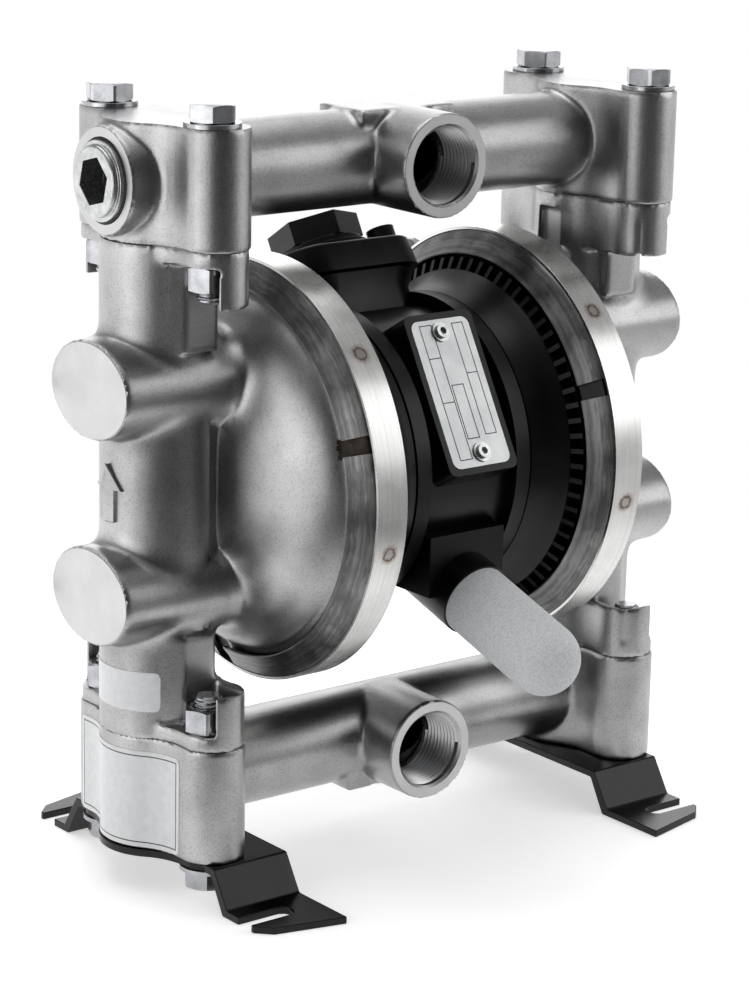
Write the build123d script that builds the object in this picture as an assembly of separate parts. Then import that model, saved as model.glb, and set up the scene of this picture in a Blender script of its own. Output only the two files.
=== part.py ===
from build123d import *
from math import cos, hypot, radians, sin, sqrt
import os

# Air operated double diaphragm pump with a cast stainless fluid end and a black plastic centre section.
# Frame: X runs along the diaphragm shaft, -Y is the front where the fluid ports open, and Z is up.
# The feet stand on z = 0, and x = 0, y = 0 is the middle of the centre section.

# Overall layout
foot_height = 14.8
manifold_offset = 102.5
column_x = 92.8
bolt_y = 29.3
joint_drop = 19.7
flat_rise = 19.4
slip = 0.05
far = 200.0
gap = 0.3

# Manifolds
lobe_radius = 19.5
bolt_boss_radius = 11.3
bolt_boss_shift = 1.5
neck_radius = 22.0
manifold_radius = 16.4
manifold_bore = 12.0
port_boss_radius = 17.7
port_face_y = 32.4
port_bore = 13.2
port_depth = 19.0
mouth_chamfer = 0.9
tee_length = 40.0
tee_width = 24.0
tee_rise = 17.3
edge_round = 0.6
plug_boss_radius = 17.6
plug_boss_face = 115.0
plug_depth = 10.5
plug_stand_out = 3.5
plug_rim_radius = 11.7
plug_rim = 1.9
plug_socket_flats = 14.3
plug_socket_depth = 9.0

# Fluid covers
column_radius = 19.7
column_step_x = 84.5
column_inner_x = 77.0
column_inner_half = 15.4
column_inner_corner = 7.0
stub_half_height = 16.4
stub_half_width = 22.6
stub_offset = 34.65
stub_face = 120.4
stub_round = 0.8
ear_inset = 0.5
ear_flange = 5.0
ear_height = 18.6
pocket_boss_radius = 10.8
pocket_cut_x = 96.0
pocket_slack = 0.3
passage_radius = 9.0
dome_rim = (60.3, 62.0)
dome_shoulder = (70.0, 52.0)
dome_side = (77.0, 30.0)
dome_crown = 79.0
dome_wall = 4.5

# Band clamps
clamp_x = 51.2
strap_radius = 72.45
strap_width = 12.0
strap_thickness = 1.0
leg_reach = 11.7
leg_edge_radius = 63.4
leg_thickness = 1.6
segment_starts = (-94.2, 20.6, 149.0)
segment_arc = 110.0
latch_angle = 139.8
latch_half = 9.2
latch_radius = 77.0
latch_half_span = 12.4
loop_radius = 5.7
barrel_radius = 4.6
barrel_length = 16.0
latch_bolt_radius = 3.0
latch_bolt_length = 43.0
latch_nut_flats = 10.0
latch_nut_height = 5.0
far_clamp_turn = 5.0

# Air covers
drum_half = 24.4
air_cover_radius = 51.8
rib_ring_x = 37.0
rib_ring_radius = 58.2
rib_outer_x = 39.5
rib_floor_x = 41.6
rib_count = 72
rib_thickness = 1.7
flange_radius = 69.5
flange_gap = 0.1
dish_floor = 34.0
cover_screw_circle = 43.0
cover_screw_count = 6
cover_screw_start = 0.0
cover_screw_radius = 2.5
cover_screw_head_radius = 4.2
cover_screw_head = 4.5
cover_screw_length = 18.0

# Centre housing
tilt = 30.0
drum_radius = 47.6
rim_radius = 52.0
rim_inner_x = 18.5
cover_gasket = 0.8
bearing_radius = 13.0
bearing_inner_x = 9.0
seal_width = 5.0

# Air valve
chest_length = 29.0
chest_front = 17.0
chest_back = 16.0
chest_floor = 31.0
chest_corner = 4.0
neck_length = 46.0
neck_width = 40.0
neck_corner = 11.0
neck_waist = 51.0
valve_cover_length = 57.0
valve_cover_width = 48.5
valve_cover_corner = 14.0
valve_cover_base = 58.0
valve_cover_top = 68.6
valve_cover_taper = 5.0
valve_gasket = 0.8
nub_radius = 5.0
nub_top = 74.5
cover_bolt_x = 19.0
cover_bolt_t = 12.0
cover_bolt_radius = 2.0
cover_bolt_head_radius = 3.6
cover_bolt_length = 16.0
hex_base = 73.8
hex_top = 82.4
hex_circumradius = 16.4
hex_turn = 25.0
lip_base = 71.5
lip_radius = 15.4
collar_radius = 17.4
fitting_thread = 10.0
air_port_bore = 5.9
air_port_depth = 12.0
air_passage = 4.6
valve_t = 7.0
valve_plate_top = 33.0
valve_plate_length = 26.0
valve_plate_width = 16.0
port_pitch = 6.0
port_width = 3.0
port_reach = 8.0
cup_half = 7.5
cup_hollow_half = 5.5
cup_width = 13.0
cup_top = 38.0
carriage_half = 8.5
carriage_top = 48.0
piston_radius = 6.0
piston_rho = 41.0
piston_end = 19.8
cup_seal_width = 2.0
cup_seal_depth = 1.2
pilot_t = -10.0
pilot_rho = 37.0
pilot_pin_radius = 2.4
pilot_block_half = 6.0
pilot_tip = 34.6
pilot_bush_radius = 4.0
pilot_bush_length = 8.0
side_port_rho = 24.0
side_port_radius = 2.6
channel_radius = 4.5

# Name plate
plate_width = 24.6
plate_length = 52.3
plate_corner = 3.0
plate_thickness = 0.8
plate_rise = 2.25
plate_face = 51.3
pad_width = 29.2
pad_length = 57.0
pad_corner = 3.0
plate_screw_x = 0.8
plate_screw_rise = 21.5
plate_screw_radius = 1.5
plate_screw_flange = 3.4
plate_screw_length = 8.0

# Exhaust
muffler_tilt = 17.86
muffler_radius = 12.5
muffler_length = 50.0
muffler_back_y = 54.15
muffler_back_z = 94.29
muffler_bore = 7.0
spigot_radius = 8.5
spigot_length = 11.0
exhaust_boss_radius = 13.2
exhaust_boss_length = 42.0
exhaust_bore = 7.4
exhaust_block_half = 16.0
exhaust_block_front = 49.0
exhaust_block_top = 117.0
exhaust_block_bottom = 96.0

# Diaphragm group
shaft_radius = 9.5
shaft_half = 44.9
inner_plate_radius = 40.5
inner_plate_thickness = 5.0
outer_plate_radius = 36.0
outer_plate_thickness = 5.0
diaphragm_thickness = 2.6
bead_thickness = 3.0
bead_inner_radius = 62.0
bead_radius = 69.3
convolution_radius = 42.5
convolution_depth = 4.5
shaft_bolt_radius = 5.0
shaft_bolt_depth = 16.0
shaft_bolt_flats = 15.0
shaft_bolt_head = 6.0

# Check valves
ball_radius = 9.5
seat_bore = 7.0
seat_radius = 15.0
seat_height = 6.0
seat_step = 2.4
ball_bore = 12.2
ball_lift = 5.0
ball_seat_gap = 0.03
stop_gap = 0.5
stop_post_radius = 3.0
stop_rib = 4.0
stop_rib_height = 6.0

# Fasteners
bolt_radius = 4.76
hole_radius = 4.95
head_flats = 14.29
head_height = 6.0
front_head_turn = 54.0
rear_head_turn = 7.0
head_chamfer = 0.4
nut_height = 8.2
nut_turn = -8.0
bolt_stand_out = 4.0
washer_radius = 9.35
washer_thickness = 1.6

# Feet
foot_sheet = 2.6
foot_inboard = 68.9
foot_outboard = 98.9
foot_top_half = 41.7
foot_riser_half = 49.4
foot_tip_y = 75.4
foot_end_x = 94.0
foot_end_y = 69.5
foot_corner_y = 64.6
foot_bulge_radius = 20.0
foot_boss_radius = 8.5
slot_width = 7.0
slot_y = 59.5
slot_end_x = 79.9

shaft_height = foot_height + flat_rise + manifold_offset
outlet_z = shaft_height + manifold_offset
top_joint = outlet_z - joint_drop
top_flat = outlet_z + flat_rise
bottom_joint = 2 * shaft_height - top_joint
bottom_flat = 2 * shaft_height - top_flat
nut_corner = head_flats / sqrt(3)
pocket_half = nut_corner + pocket_slack
pocket_wall_x = column_x - nut_corner - pocket_slack
ball_rise = sqrt(ball_radius**2 - seat_bore**2) + ball_seat_gap
ball_stop = ball_rise + ball_radius + ball_lift + stop_gap
leg_span = hypot(leg_reach - strap_width / 2, strap_radius - strap_thickness - leg_edge_radius)
leg_slope = (leg_reach - strap_width / 2) / (strap_radius - strap_thickness - leg_edge_radius)
leg_shift = leg_thickness * leg_span / (strap_radius - strap_thickness - leg_edge_radius)
diaphragm_x = clamp_x


def leg_line(radius):
    """Half-width of the inside of the clamp's V at a radius."""
    return strap_width / 2 - leg_shift + leg_slope * (strap_radius - strap_thickness - radius)


def mirrored(shape, side):
    """The shape as drawn on the +X side, or its mirror image on the -X side."""
    return shape if side > 0 else mirror(shape, about=Plane.YZ)


def turned_over(shape):
    """Half a turn about the front-to-back axis through the pump's centre."""
    return Pos(0, 0, shaft_height) * Rot(0, 180, 0) * Pos(0, 0, -shaft_height) * shape


def tilted(shape):
    """Turns a shape from the square frame of the air valve onto the centre section."""
    return Pos(0, 0, shaft_height) * Rot(-tilt, 0, 0) * shape


def rod(radius, x0, x1, y=0.0, z=0.0):
    """Cylinder along X between two stations."""
    return Pos((x0 + x1) / 2, y, z) * Rot(0, 90, 0) * Cylinder(radius, abs(x1 - x0))


def post(radius, z0, z1, x=0.0, y=0.0):
    """Cylinder along Z between two heights."""
    return Pos(x, y, (z0 + z1) / 2) * Cylinder(radius, abs(z1 - z0))


def pin(radius, start, end):
    """Cylinder between two points."""
    span = Vector(*end) - Vector(*start)
    base = Plane(origin=start, z_dir=span)
    return extrude(base * Circle(radius), span.length)


def block(x0, x1, y0, y1, z0, z1):
    """Box between two corners."""
    place = Pos((x0 + x1) / 2, (y0 + y1) / 2, (z0 + z1) / 2)
    return place * Box(abs(x1 - x0), abs(y1 - y0), abs(z1 - z0))


def slab(length, width, corner, z0, z1, x=0.0, y=0.0):
    """Upright prism on a rectangle with round corners."""
    return Pos(x, y, z0) * extrude(RectangleRounded(length, width, corner), z1 - z0)


def hexagon(flats, z0, z1, x=0.0, y=0.0, turn=0.0):
    """Upright hexagonal prism sized across its flats."""
    return Pos(x, y, z0) * extrude(RegularPolygon(flats / 2, 6, False, turn), z1 - z0)


def ring(points, arc=360, start=0.0):
    """Turns a closed outline of (station, radius) points about the shaft axis."""
    outline = make_face(Polyline(*points, close=True))
    return Pos(0, 0, shaft_height) * Rot(start, 0, 0) * revolve(outline, Axis.X, arc)


def group(shapes):
    """Separate solids kept in one node."""
    return Compound(children=[solid for shape in shapes for solid in shape.solids()])


def save(name, shape):
    """Writes one node."""
    solids = shape.solids()
    whole = solids[0] if len(solids) == 1 else Compound(children=list(solids))
    export_step(whole, "parts/" + name + ".step")


def bone_web(lobe, lobe_r, boss, boss_r, side):
    """Web from a lobe to a boss whose free edge is one hollow arc tangent to both."""
    span = hypot(boss[0] - lobe[0], boss[1] - lobe[1])
    ux, uy = (boss[0] - lobe[0]) / span, (boss[1] - lobe[1]) / span
    near, far = lobe_r + neck_radius, boss_r + neck_radius
    along = (span**2 + near**2 - far**2) / (2 * span)
    out = side * sqrt(near**2 - along**2)
    centre = (lobe[0] + ux * along - uy * out, lobe[1] + uy * along + ux * out)
    start = tuple(lobe[i] + (centre[i] - lobe[i]) * lobe_r / near for i in (0, 1))
    end = tuple(boss[i] + (centre[i] - boss[i]) * boss_r / far for i in (0, 1))
    corners = [lobe, boss, end, start] if side > 0 else [lobe, start, end, boss]
    return make_face(Polyline(*corners, close=True)) - Pos(*centre) * Circle(neck_radius)


def dog_bone(inset, lobe=lobe_radius):
    """Plan outline of a manifold end: the riser's lobe with a bolt boss front and back."""
    centre = (column_x, 0.0)
    outline = Pos(*centre) * Circle(lobe - inset)
    for way in (-1, 1):
        boss = (column_x - bolt_boss_shift, way * bolt_y)
        outline += Pos(*boss) * Circle(bolt_boss_radius - inset)
        for side in (-1, 1):
            outline += bone_web(centre, lobe - inset, boss, bolt_boss_radius - inset, side)
    return outline


def bolt_places():
    """Plan positions of the four bolts of a joint plane."""
    return [(sx * column_x, sy * bolt_y) for sx in (-1, 1) for sy in (-1, 1)]


def make_waterway(with_stops):
    """Bores of a manifold: cross bore, front port, plugged end and the two ball chambers with their stops."""
    way = rod(manifold_bore, -plug_boss_face, column_x + manifold_bore / 2, 0, outlet_z)
    way += pin(manifold_bore, (0, 0, outlet_z), (0, -port_face_y, outlet_z))
    for side in (-1, 1):
        way += post(ball_bore, top_joint, outlet_z, side * column_x)
        if with_stops:
            roof = outlet_z + manifold_bore + 1
            way -= post(stop_post_radius, top_joint + ball_stop, roof, side * column_x)
    way += rod(port_bore, -plug_boss_face, plug_depth - plug_boss_face, 0, outlet_z)
    way += pin(port_bore, (0, port_depth - port_face_y, outlet_z), (0, -port_face_y, outlet_z))
    mouth = Cone(port_bore + mouth_chamfer, port_bore, mouth_chamfer, align=(Align.CENTER, Align.CENTER, Align.MIN))
    way += Pos(0, -port_face_y, outlet_z) * Rot(-90, 0, 0) * mouth
    way += Pos(-plug_boss_face, 0, outlet_z) * Rot(0, 90, 0) * mouth
    for x, y in bolt_places():
        way += post(hole_radius, top_joint, top_flat, x, y)
    return way


def make_manifold(with_stops):
    """Manifold casting: cross tube, two bolted ends, front port with its tee block, and a plugged end."""
    end = Pos(0, 0, top_joint) * extrude(dog_bone(0), top_flat - top_joint)
    end = fillet(end.faces().sort_by(Axis.Z)[-1].outer_wire().edges(), edge_round)
    body = end + mirrored(end, -1)
    body += rod(manifold_radius, -column_x, column_x, 0, outlet_z)
    body += pin(port_boss_radius, (0, 0, outlet_z), (0, -port_face_y, outlet_z))
    tee = block(-tee_length / 2, tee_length / 2, -tee_width / 2, tee_width / 2, outlet_z, outlet_z + tee_rise)
    body += fillet(tee.edges().filter_by(Axis.Z), edge_round)
    body += rod(plug_boss_radius, -plug_boss_face, -column_x, 0, outlet_z)
    return body - make_waterway(with_stops)


def make_inlet_manifold():
    """Inlet manifold: the same casting turned over and bored for the inlet seats."""
    body = turned_over(make_manifold(False))
    for side in (-1, 1):
        body -= post(seat_radius + slip, bottom_joint - seat_height, bottom_joint, side * column_x)
    return body


def make_plug():
    """Pipe plug of a manifold's end, with a stepped rim and a hexagon socket."""
    face = -plug_boss_face - plug_stand_out
    inner = plug_depth - plug_boss_face
    body = rod(port_bore - slip, face + plug_rim, inner, 0, outlet_z)
    rim = rod(plug_rim_radius, face, face + plug_rim, 0, outlet_z)
    body += chamfer(rim.edges().group_by(Axis.X)[0], plug_rim / 3)
    socket = Rot(0, 90, 0) * extrude(RegularPolygon(plug_socket_flats / 2, 6, False, 15), plug_socket_depth)
    return body - Pos(face, 0, outlet_z) * socket


def make_ear(joint, way):
    """Bolting ear of a fluid cover: a flange on the joint plane and a nut pocket at each end of it."""
    under = joint - way * ear_flange
    end = joint - way * ear_height
    ear = Pos(0, 0, min(joint, under)) * extrude(dog_bone(ear_inset), ear_flange)
    for side in (-1, 1):
        y = side * bolt_y
        boss = post(pocket_boss_radius, under, end, column_x - bolt_boss_shift, y)
        boss -= block(pocket_cut_x, far, y - far, y + far, under, end)
        boss -= block(pocket_wall_x, far, y - pocket_half, y + pocket_half, under, end)
        ear += boss
    return ear


def make_fluid_cover():
    """Fluid cover of the +X side: clamp flange, dome, riser column, four stub ends and bolting ears."""
    face = diaphragm_x + bead_thickness / 2
    with BuildSketch() as outside:
        with BuildLine():
            Polyline(
                (face, 0),
                (face, flange_radius),
                (clamp_x + leg_line(flange_radius) - flange_gap, flange_radius),
                (clamp_x + leg_line(dome_rim[1]) - flange_gap - 0.8, dome_rim[1]),
                dome_rim,
            )
            Spline(dome_rim, dome_shoulder, dome_side, (dome_crown, 0), tangents=((1, -0.55), (0, -1)))
            Line((dome_crown, 0), (face, 0))
        make_face()
    body = Pos(0, 0, shaft_height) * revolve(outside.sketch, Axis.X)
    plan = Pos(column_x, 0) * Circle(column_radius)
    plan -= Pos(column_step_x - 20, 0) * Rectangle(40, 60)
    inner_length = column_x - column_inner_x
    inner = RectangleRounded(2 * inner_length, 2 * column_inner_half, column_inner_corner)
    plan += Pos(column_x, 0) * inner & Pos(column_x - 25, 0) * Rectangle(50, 60)
    body += Pos(0, 0, bottom_joint) * extrude(plan, top_joint - bottom_joint)
    for way in (-1, 1):
        root = dome_shoulder[0] - 12
        section = Rot(0, 90, 0) * Ellipse(stub_half_height, stub_half_width)
        stub = Pos(root, 0, shaft_height + way * stub_offset) * extrude(section, stub_face - root)
        body += fillet(stub.edges().group_by(Axis.X)[-1], stub_round)
    body += make_ear(top_joint, 1) + make_ear(bottom_joint, -1)
    with BuildSketch() as inside:
        with BuildLine():
            Polyline((face - 1, 0), (face - 1, bead_inner_radius - 2), (face + 1.5, bead_inner_radius - 2))
            Spline(
                (face + 1.5, bead_inner_radius - 2),
                (dome_shoulder[0] - dome_wall, dome_shoulder[1] - dome_wall / 2),
                (dome_side[0] - dome_wall, dome_side[1]),
                (dome_crown - dome_wall, 0),
                tangents=((1, -0.3), (0, -1)),
            )
            Line((dome_crown - dome_wall, 0), (face - 1, 0))
        make_face()
    body -= Pos(0, 0, shaft_height) * revolve(inside.sketch, Axis.X)
    low_passage = shaft_height - stub_offset
    high_passage = shaft_height + stub_offset
    body -= post(ball_bore, bottom_joint, low_passage, column_x)
    body -= rod(passage_radius, dome_shoulder[0] - 8, column_x, 0, low_passage)
    body -= post(passage_radius, high_passage, top_joint, column_x)
    body -= rod(passage_radius, dome_shoulder[0] - 8, column_x, 0, high_passage)
    body -= post(seat_radius + slip, top_joint - seat_height, top_joint, column_x)
    stop = bottom_joint + ball_stop
    wide = ball_bore + 1
    body += block(column_x - wide, column_x + wide, -stop_rib / 2, stop_rib / 2, stop, stop + stop_rib_height)
    for way in (-1, 1):
        body -= post(hole_radius, bottom_joint, bottom_joint + ear_flange, column_x, way * bolt_y)
        body -= post(hole_radius, top_joint - ear_flange, top_joint, column_x, way * bolt_y)
    return body


def make_seat(top):
    """Ball seat ring under a joint plane, stepped for the ring seal beside it."""
    body = post(seat_radius, top - seat_height, top, column_x)
    body -= post(seat_bore, top - seat_height, top, column_x)
    step = post(seat_radius, top - seat_step, top, column_x) - post(seat_radius - seat_step, top - seat_step, top, column_x)
    return body - step


def make_seat_seal(top):
    """Round section ring seal in the step of a seat."""
    section = seat_step / 2 - slip
    return Pos(column_x, 0, top - seat_step / 2) * Torus(seat_radius - seat_step / 2, section)


def make_segments():
    """Three V segments of a band clamp, which draw the two cover flanges together."""
    top = strap_radius - strap_thickness
    half = strap_width / 2
    tip = leg_reach - leg_shift
    right = [
        (half, top),
        (leg_reach, leg_edge_radius),
        (tip, leg_edge_radius),
        (leg_line(top - leg_thickness), top - leg_thickness),
    ]
    outline = right + [(-x, r) for x, r in reversed(right)]
    outline = [(clamp_x + x, r) for x, r in outline]
    return group([ring(outline, segment_arc, 180 - start - segment_arc) for start in segment_starts])


def at_latch(shape):
    """Places a shape drawn with Y outward and Z up the rear of the band at the clamp's latch."""
    return Pos(clamp_x, 0, shaft_height) * Rot(180 - latch_angle, 0, 0) * mirror(shape, about=Plane.XY)


def make_strap():
    """Band of a clamp with a loop round a barrel at each end."""
    inner = strap_radius - strap_thickness
    outline = [(clamp_x + x, r) for x, r in ((-6, inner), (6, inner), (6, strap_radius), (-6, strap_radius))]
    band = ring(outline, 360 - 2 * latch_half, 180 - latch_angle + latch_half)
    half = strap_width / 2
    for side in (-1, 1):
        loop = rod(loop_radius, -half, half, latch_radius, side * latch_half_span)
        loop -= rod(barrel_radius + slip, -half, half, latch_radius, side * latch_half_span)
        loop -= block(-latch_bolt_radius - 1, latch_bolt_radius + 1, latch_radius - 4, latch_radius + 9, -40, 40)
        band += at_latch(loop)
    return band


def make_latch_bolt():
    """T-bolt of a clamp and the barrel that it draws through."""
    half = barrel_length / 2
    start = -latch_half_span
    end = start + latch_bolt_length
    head = rod(barrel_radius, -half, half, latch_radius, start)
    head += post(latch_bolt_radius, start, end, 0, latch_radius)
    barrel = rod(barrel_radius, -half, half, latch_radius, latch_half_span)
    barrel -= post(latch_bolt_radius + slip, 0, 40, 0, latch_radius)
    return group([at_latch(head), at_latch(barrel)])


def make_latch_nut():
    """Nut on a clamp's T-bolt."""
    base = latch_half_span + loop_radius + 0.1
    nut = hexagon(latch_nut_flats, base, base + latch_nut_height, 0, latch_radius)
    return at_latch(nut - post(latch_bolt_radius + slip, base, base + latch_nut_height, 0, latch_radius))


def cover_screw_places():
    """Positions round the shaft of the screws that hold an air cover, clear of the air valve's bores."""
    angles = [cover_screw_start + i * 360 / cover_screw_count for i in range(cover_screw_count)]
    return [(cover_screw_circle * cos(radians(a)), cover_screw_circle * sin(radians(a))) for a in angles]


def make_air_cover():
    """Air cover of the +X side: dished chamber wall, fluted rim and clamp flange."""
    back = drum_half + cover_gasket
    face = diaphragm_x - bead_thickness / 2
    with BuildSketch() as section:
        with BuildLine():
            Polyline(
                (back, shaft_radius + gap),
                (back, air_cover_radius),
                (back + 6, air_cover_radius + 2.2),
                (rib_ring_x, rib_ring_radius),
                (rib_floor_x, rib_ring_radius),
                (rib_floor_x, leg_edge_radius - 1.2),
                (clamp_x - leg_line(flange_radius) + flange_gap, flange_radius),
                (face, flange_radius),
                (face, bead_inner_radius - 0.8),
                (face - 4.5, bead_inner_radius - 0.8),
            )
            Spline(
                (face - 4.5, bead_inner_radius - 0.8),
                (rib_floor_x, rib_ring_radius - 2.2),
                (rib_ring_x + 0.6, rib_ring_radius - 7.5),
                (dish_floor, convolution_radius + 1),
            )
            Polyline(
                (dish_floor, convolution_radius + 1),
                (dish_floor, shaft_radius + gap),
                (back, shaft_radius + gap),
            )
        make_face()
    body = Pos(0, 0, shaft_height) * revolve(section.sketch, Axis.X)
    fin = make_face(
        Polyline(
            (rib_ring_x, rib_ring_radius - 0.5),
            (rib_outer_x, leg_edge_radius - 1.2),
            (rib_floor_x + 0.5, leg_edge_radius - 1.2),
            (rib_floor_x + 0.5, rib_ring_radius - 0.5),
            close=True,
        )
    )
    fin = Pos(0, 0, -rib_thickness / 2) * extrude(fin, rib_thickness)
    body += [Pos(0, 0, shaft_height) * Rot(i * 360 / rib_count, 0, 0) * fin for i in range(rib_count)]
    for y, z in cover_screw_places():
        body -= tilted(rod(cover_screw_radius + slip, back, dish_floor, y, z))
        body -= tilted(rod(cover_screw_head_radius + gap, dish_floor - cover_screw_head, dish_floor, y, z))
    body -= tilted(rod(pilot_bush_radius, back, dish_floor, -pilot_t, pilot_rho))
    body -= tilted(rod(side_port_radius, back, dish_floor, -valve_t, side_port_rho))
    return body


def make_cover_gasket():
    """Flat gasket between the +X air cover and the centre housing."""
    body = ring([(drum_half, shaft_radius + 2), (drum_half, 50), (drum_half + cover_gasket, 50), (drum_half + cover_gasket, shaft_radius + 2)])
    for y, z in cover_screw_places():
        body -= tilted(rod(cover_screw_radius + gap, drum_half, drum_half + 1, y, z))
    body -= tilted(rod(pilot_pin_radius + gap, drum_half, drum_half + 1, -pilot_t, pilot_rho))
    return body - tilted(rod(side_port_radius, drum_half, drum_half + 1, -valve_t, side_port_rho))


def make_cover_screws():
    """Countersunk row of cap screws that hold both air covers to the centre housing."""
    screws = []
    head_base = dish_floor - cover_screw_head
    for y, z in cover_screw_places():
        screw = rod(cover_screw_radius, head_base - cover_screw_length, head_base, y, z)
        screw += rod(cover_screw_head_radius, head_base, dish_floor - 0.5, y, z)
        socket = Rot(0, 90, 0) * extrude(RegularPolygon(2.0, 6, False), 2.5)
        screw -= Pos(dish_floor - 3.0, y, z) * socket
        screws += [tilted(screw), tilted(mirrored(screw, -1))]
    return group(screws)


def make_centre_housing():
    """Centre housing: drum between two rims, air valve neck, plate pad, exhaust block, bores and channels."""
    drum = ring([(-drum_half, 0), (-drum_half, rim_radius), (drum_half, rim_radius), (drum_half, 0)])
    groove = [(-rim_inner_x, drum_radius), (-rim_inner_x, 60), (rim_inner_x, 60), (rim_inner_x, drum_radius)]
    body = drum - ring(groove)
    neck = slab(neck_length, neck_width, neck_corner, 30, valve_cover_base - valve_gasket)
    foot = Pos(0, 0, neck_waist) * RectangleRounded(neck_length, neck_width, neck_corner)
    brim = RectangleRounded(valve_cover_length - 3, valve_cover_width - 3, valve_cover_corner)
    neck += loft([foot, Pos(0, 0, valve_cover_base - valve_gasket) * brim])
    body += tilted(neck)
    pad = slab(pad_width, pad_length, pad_corner, 30, plate_face)
    body += tilted(Pos(0, 0, plate_rise) * Rot(90, 0, 0) * pad)
    half = exhaust_block_half
    body += block(-half, half, -exhaust_block_front, -20, exhaust_block_bottom, exhaust_block_top)
    axis_y, axis_z = -cos(radians(muffler_tilt)), -sin(radians(muffler_tilt))

    def on_exhaust(back):
        return (0, -muffler_back_y - axis_y * back, muffler_back_z - axis_z * back)

    body += pin(exhaust_boss_radius, on_exhaust(exhaust_boss_length), on_exhaust(0))
    body -= pin(spigot_radius + slip, on_exhaust(spigot_length + gap), on_exhaust(0))
    body -= pin(exhaust_bore, on_exhaust(exhaust_boss_length + 14), on_exhaust(0))
    body -= rod(shaft_radius + gap, -drum_half, drum_half, 0, shaft_height)
    for side in (-1, 1):
        body -= rod(bearing_radius, side * bearing_inner_x, side * drum_half, 0, shaft_height)
    recess = slab(plate_width + 0.4, plate_length + 0.4, plate_corner, plate_face - plate_thickness, plate_face + 5)
    body -= tilted(Pos(0, 0, plate_rise) * Rot(90, 0, 0) * recess)
    for x, z in plate_screw_places():
        tail = plate_face - plate_screw_length
        body -= tilted(Pos(x, 0, z) * Rot(90, 0, 0) * post(plate_screw_radius + slip, tail, plate_face))
    chest_middle = (chest_back - chest_front) / 2
    width = chest_front + chest_back
    chest = slab(chest_length, width, chest_corner, chest_floor, valve_cover_base, 0, chest_middle)
    chest += rod(piston_radius + slip, -drum_half, drum_half, -valve_t, piston_rho)
    chest += rod(pilot_pin_radius + slip, -drum_half, drum_half, -pilot_t, pilot_rho)
    elbow = (0, -26, 0)
    chest += pin(channel_radius, (0, -valve_t, chest_floor), elbow)
    chest += Pos(*elbow) * Sphere(channel_radius)
    chest += pin(channel_radius, elbow, (0, -11, -44))
    for side in (-1, 1):
        port = (side * port_pitch, -valve_t, chest_floor + 1)
        chest += pin(side_port_radius, port, (side * (drum_half + 2), -valve_t, side_port_rho))
    for x, y in cover_bolt_places():
        bottom = valve_cover_top - cover_bolt_head_radius - cover_bolt_length
        chest += post(cover_bolt_radius + slip, bottom - 1, valve_cover_base, x, y)
    head_base = dish_floor - cover_screw_head
    for y, z in cover_screw_places():
        for side in (-1, 1):
            tip = head_base - cover_screw_length - 1
            chest += rod(cover_screw_radius + slip, side * tip, side * drum_half, y, z)
    return body - tilted(chest)


def plate_screw_places():
    """Places of the two name plate screws as x and the distance along the plate."""
    return [(-plate_screw_x, plate_rise + plate_screw_rise), (plate_screw_x, plate_rise - plate_screw_rise)]


def cover_bolt_places():
    """Places of the valve cover's four screws in the air valve's square frame."""
    return [(sx * cover_bolt_x, sy * cover_bolt_t) for sx in (-1, 1) for sy in (-1, 1)]


def make_shaft_bearings():
    """Two plain bushes that carry the diaphragm shaft in the centre housing."""
    bushes = []
    for side in (-1, 1):
        bush = rod(bearing_radius, side * bearing_inner_x, side * (drum_half - seal_width), 0, shaft_height)
        bushes.append(bush - rod(shaft_radius + slip, -drum_half, drum_half, 0, shaft_height))
    return group(bushes)


def make_shaft_seals():
    """Two lip seals outboard of the shaft's bushes."""
    outer = drum_half - slip
    inner = drum_half - seal_width
    lip = [(inner, shaft_radius + slip), (inner, bearing_radius), (outer, bearing_radius), (outer, bearing_radius - 1.1)]
    lip += [(inner + 1.6, bearing_radius - 1.3), (inner + 1.6, shaft_radius + 1.3), (outer, shaft_radius + slip)]
    seal = ring(lip)
    return group([seal, mirrored(seal, -1)])


def make_valve_cover():
    """Valve cover: tapered block with round corners, inlet collar and locating stud."""
    plan = RectangleRounded(valve_cover_length, valve_cover_width, valve_cover_corner)
    body = Pos(0, 0, valve_cover_base) * extrude(plan, valve_cover_top - valve_cover_base, taper=valve_cover_taper)
    body = fillet(body.faces().sort_by(Axis.Z)[-1].outer_wire().edges(), 1.2)
    body += post(collar_radius, valve_cover_top - 1, lip_base, 0, 0)
    body += post(nub_radius, valve_cover_top - 1, nub_top, cover_bolt_x, -cover_bolt_t)
    body -= post(fitting_thread, valve_cover_base, lip_base)
    for x, y in cover_bolt_places():
        body -= post(cover_bolt_radius + gap, valve_cover_base, valve_cover_top, x, y)
        body -= post(cover_bolt_head_radius + gap, valve_cover_top - cover_bolt_head_radius, nub_top, x, y)
    return tilted(body)


def make_valve_gasket():
    """Gasket between the valve cover and the centre housing's neck."""
    low = valve_cover_base - valve_gasket
    middle = (chest_back - chest_front) / 2
    body = slab(neck_length - 1, neck_width - 1, neck_corner, low, valve_cover_base)
    width = chest_front + chest_back
    body -= slab(chest_length, width, chest_corner, low, valve_cover_base, 0, middle)
    for x, y in cover_bolt_places():
        body -= post(cover_bolt_radius + gap, low, valve_cover_base, x, y)
    return tilted(body)


def make_cover_bolts():
    """Four socket screws of the valve cover."""
    bolts = []
    head_base = valve_cover_top - cover_bolt_head_radius
    for x, y in cover_bolt_places():
        bolt = post(cover_bolt_radius, head_base - cover_bolt_length, head_base, x, y)
        bolt += post(cover_bolt_head_radius, head_base, valve_cover_top - 0.4, x, y)
        bolt -= hexagon(3.0, valve_cover_top - 2.2, valve_cover_top, x, y)
        bolts.append(tilted(bolt))
    return group(bolts)


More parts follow.
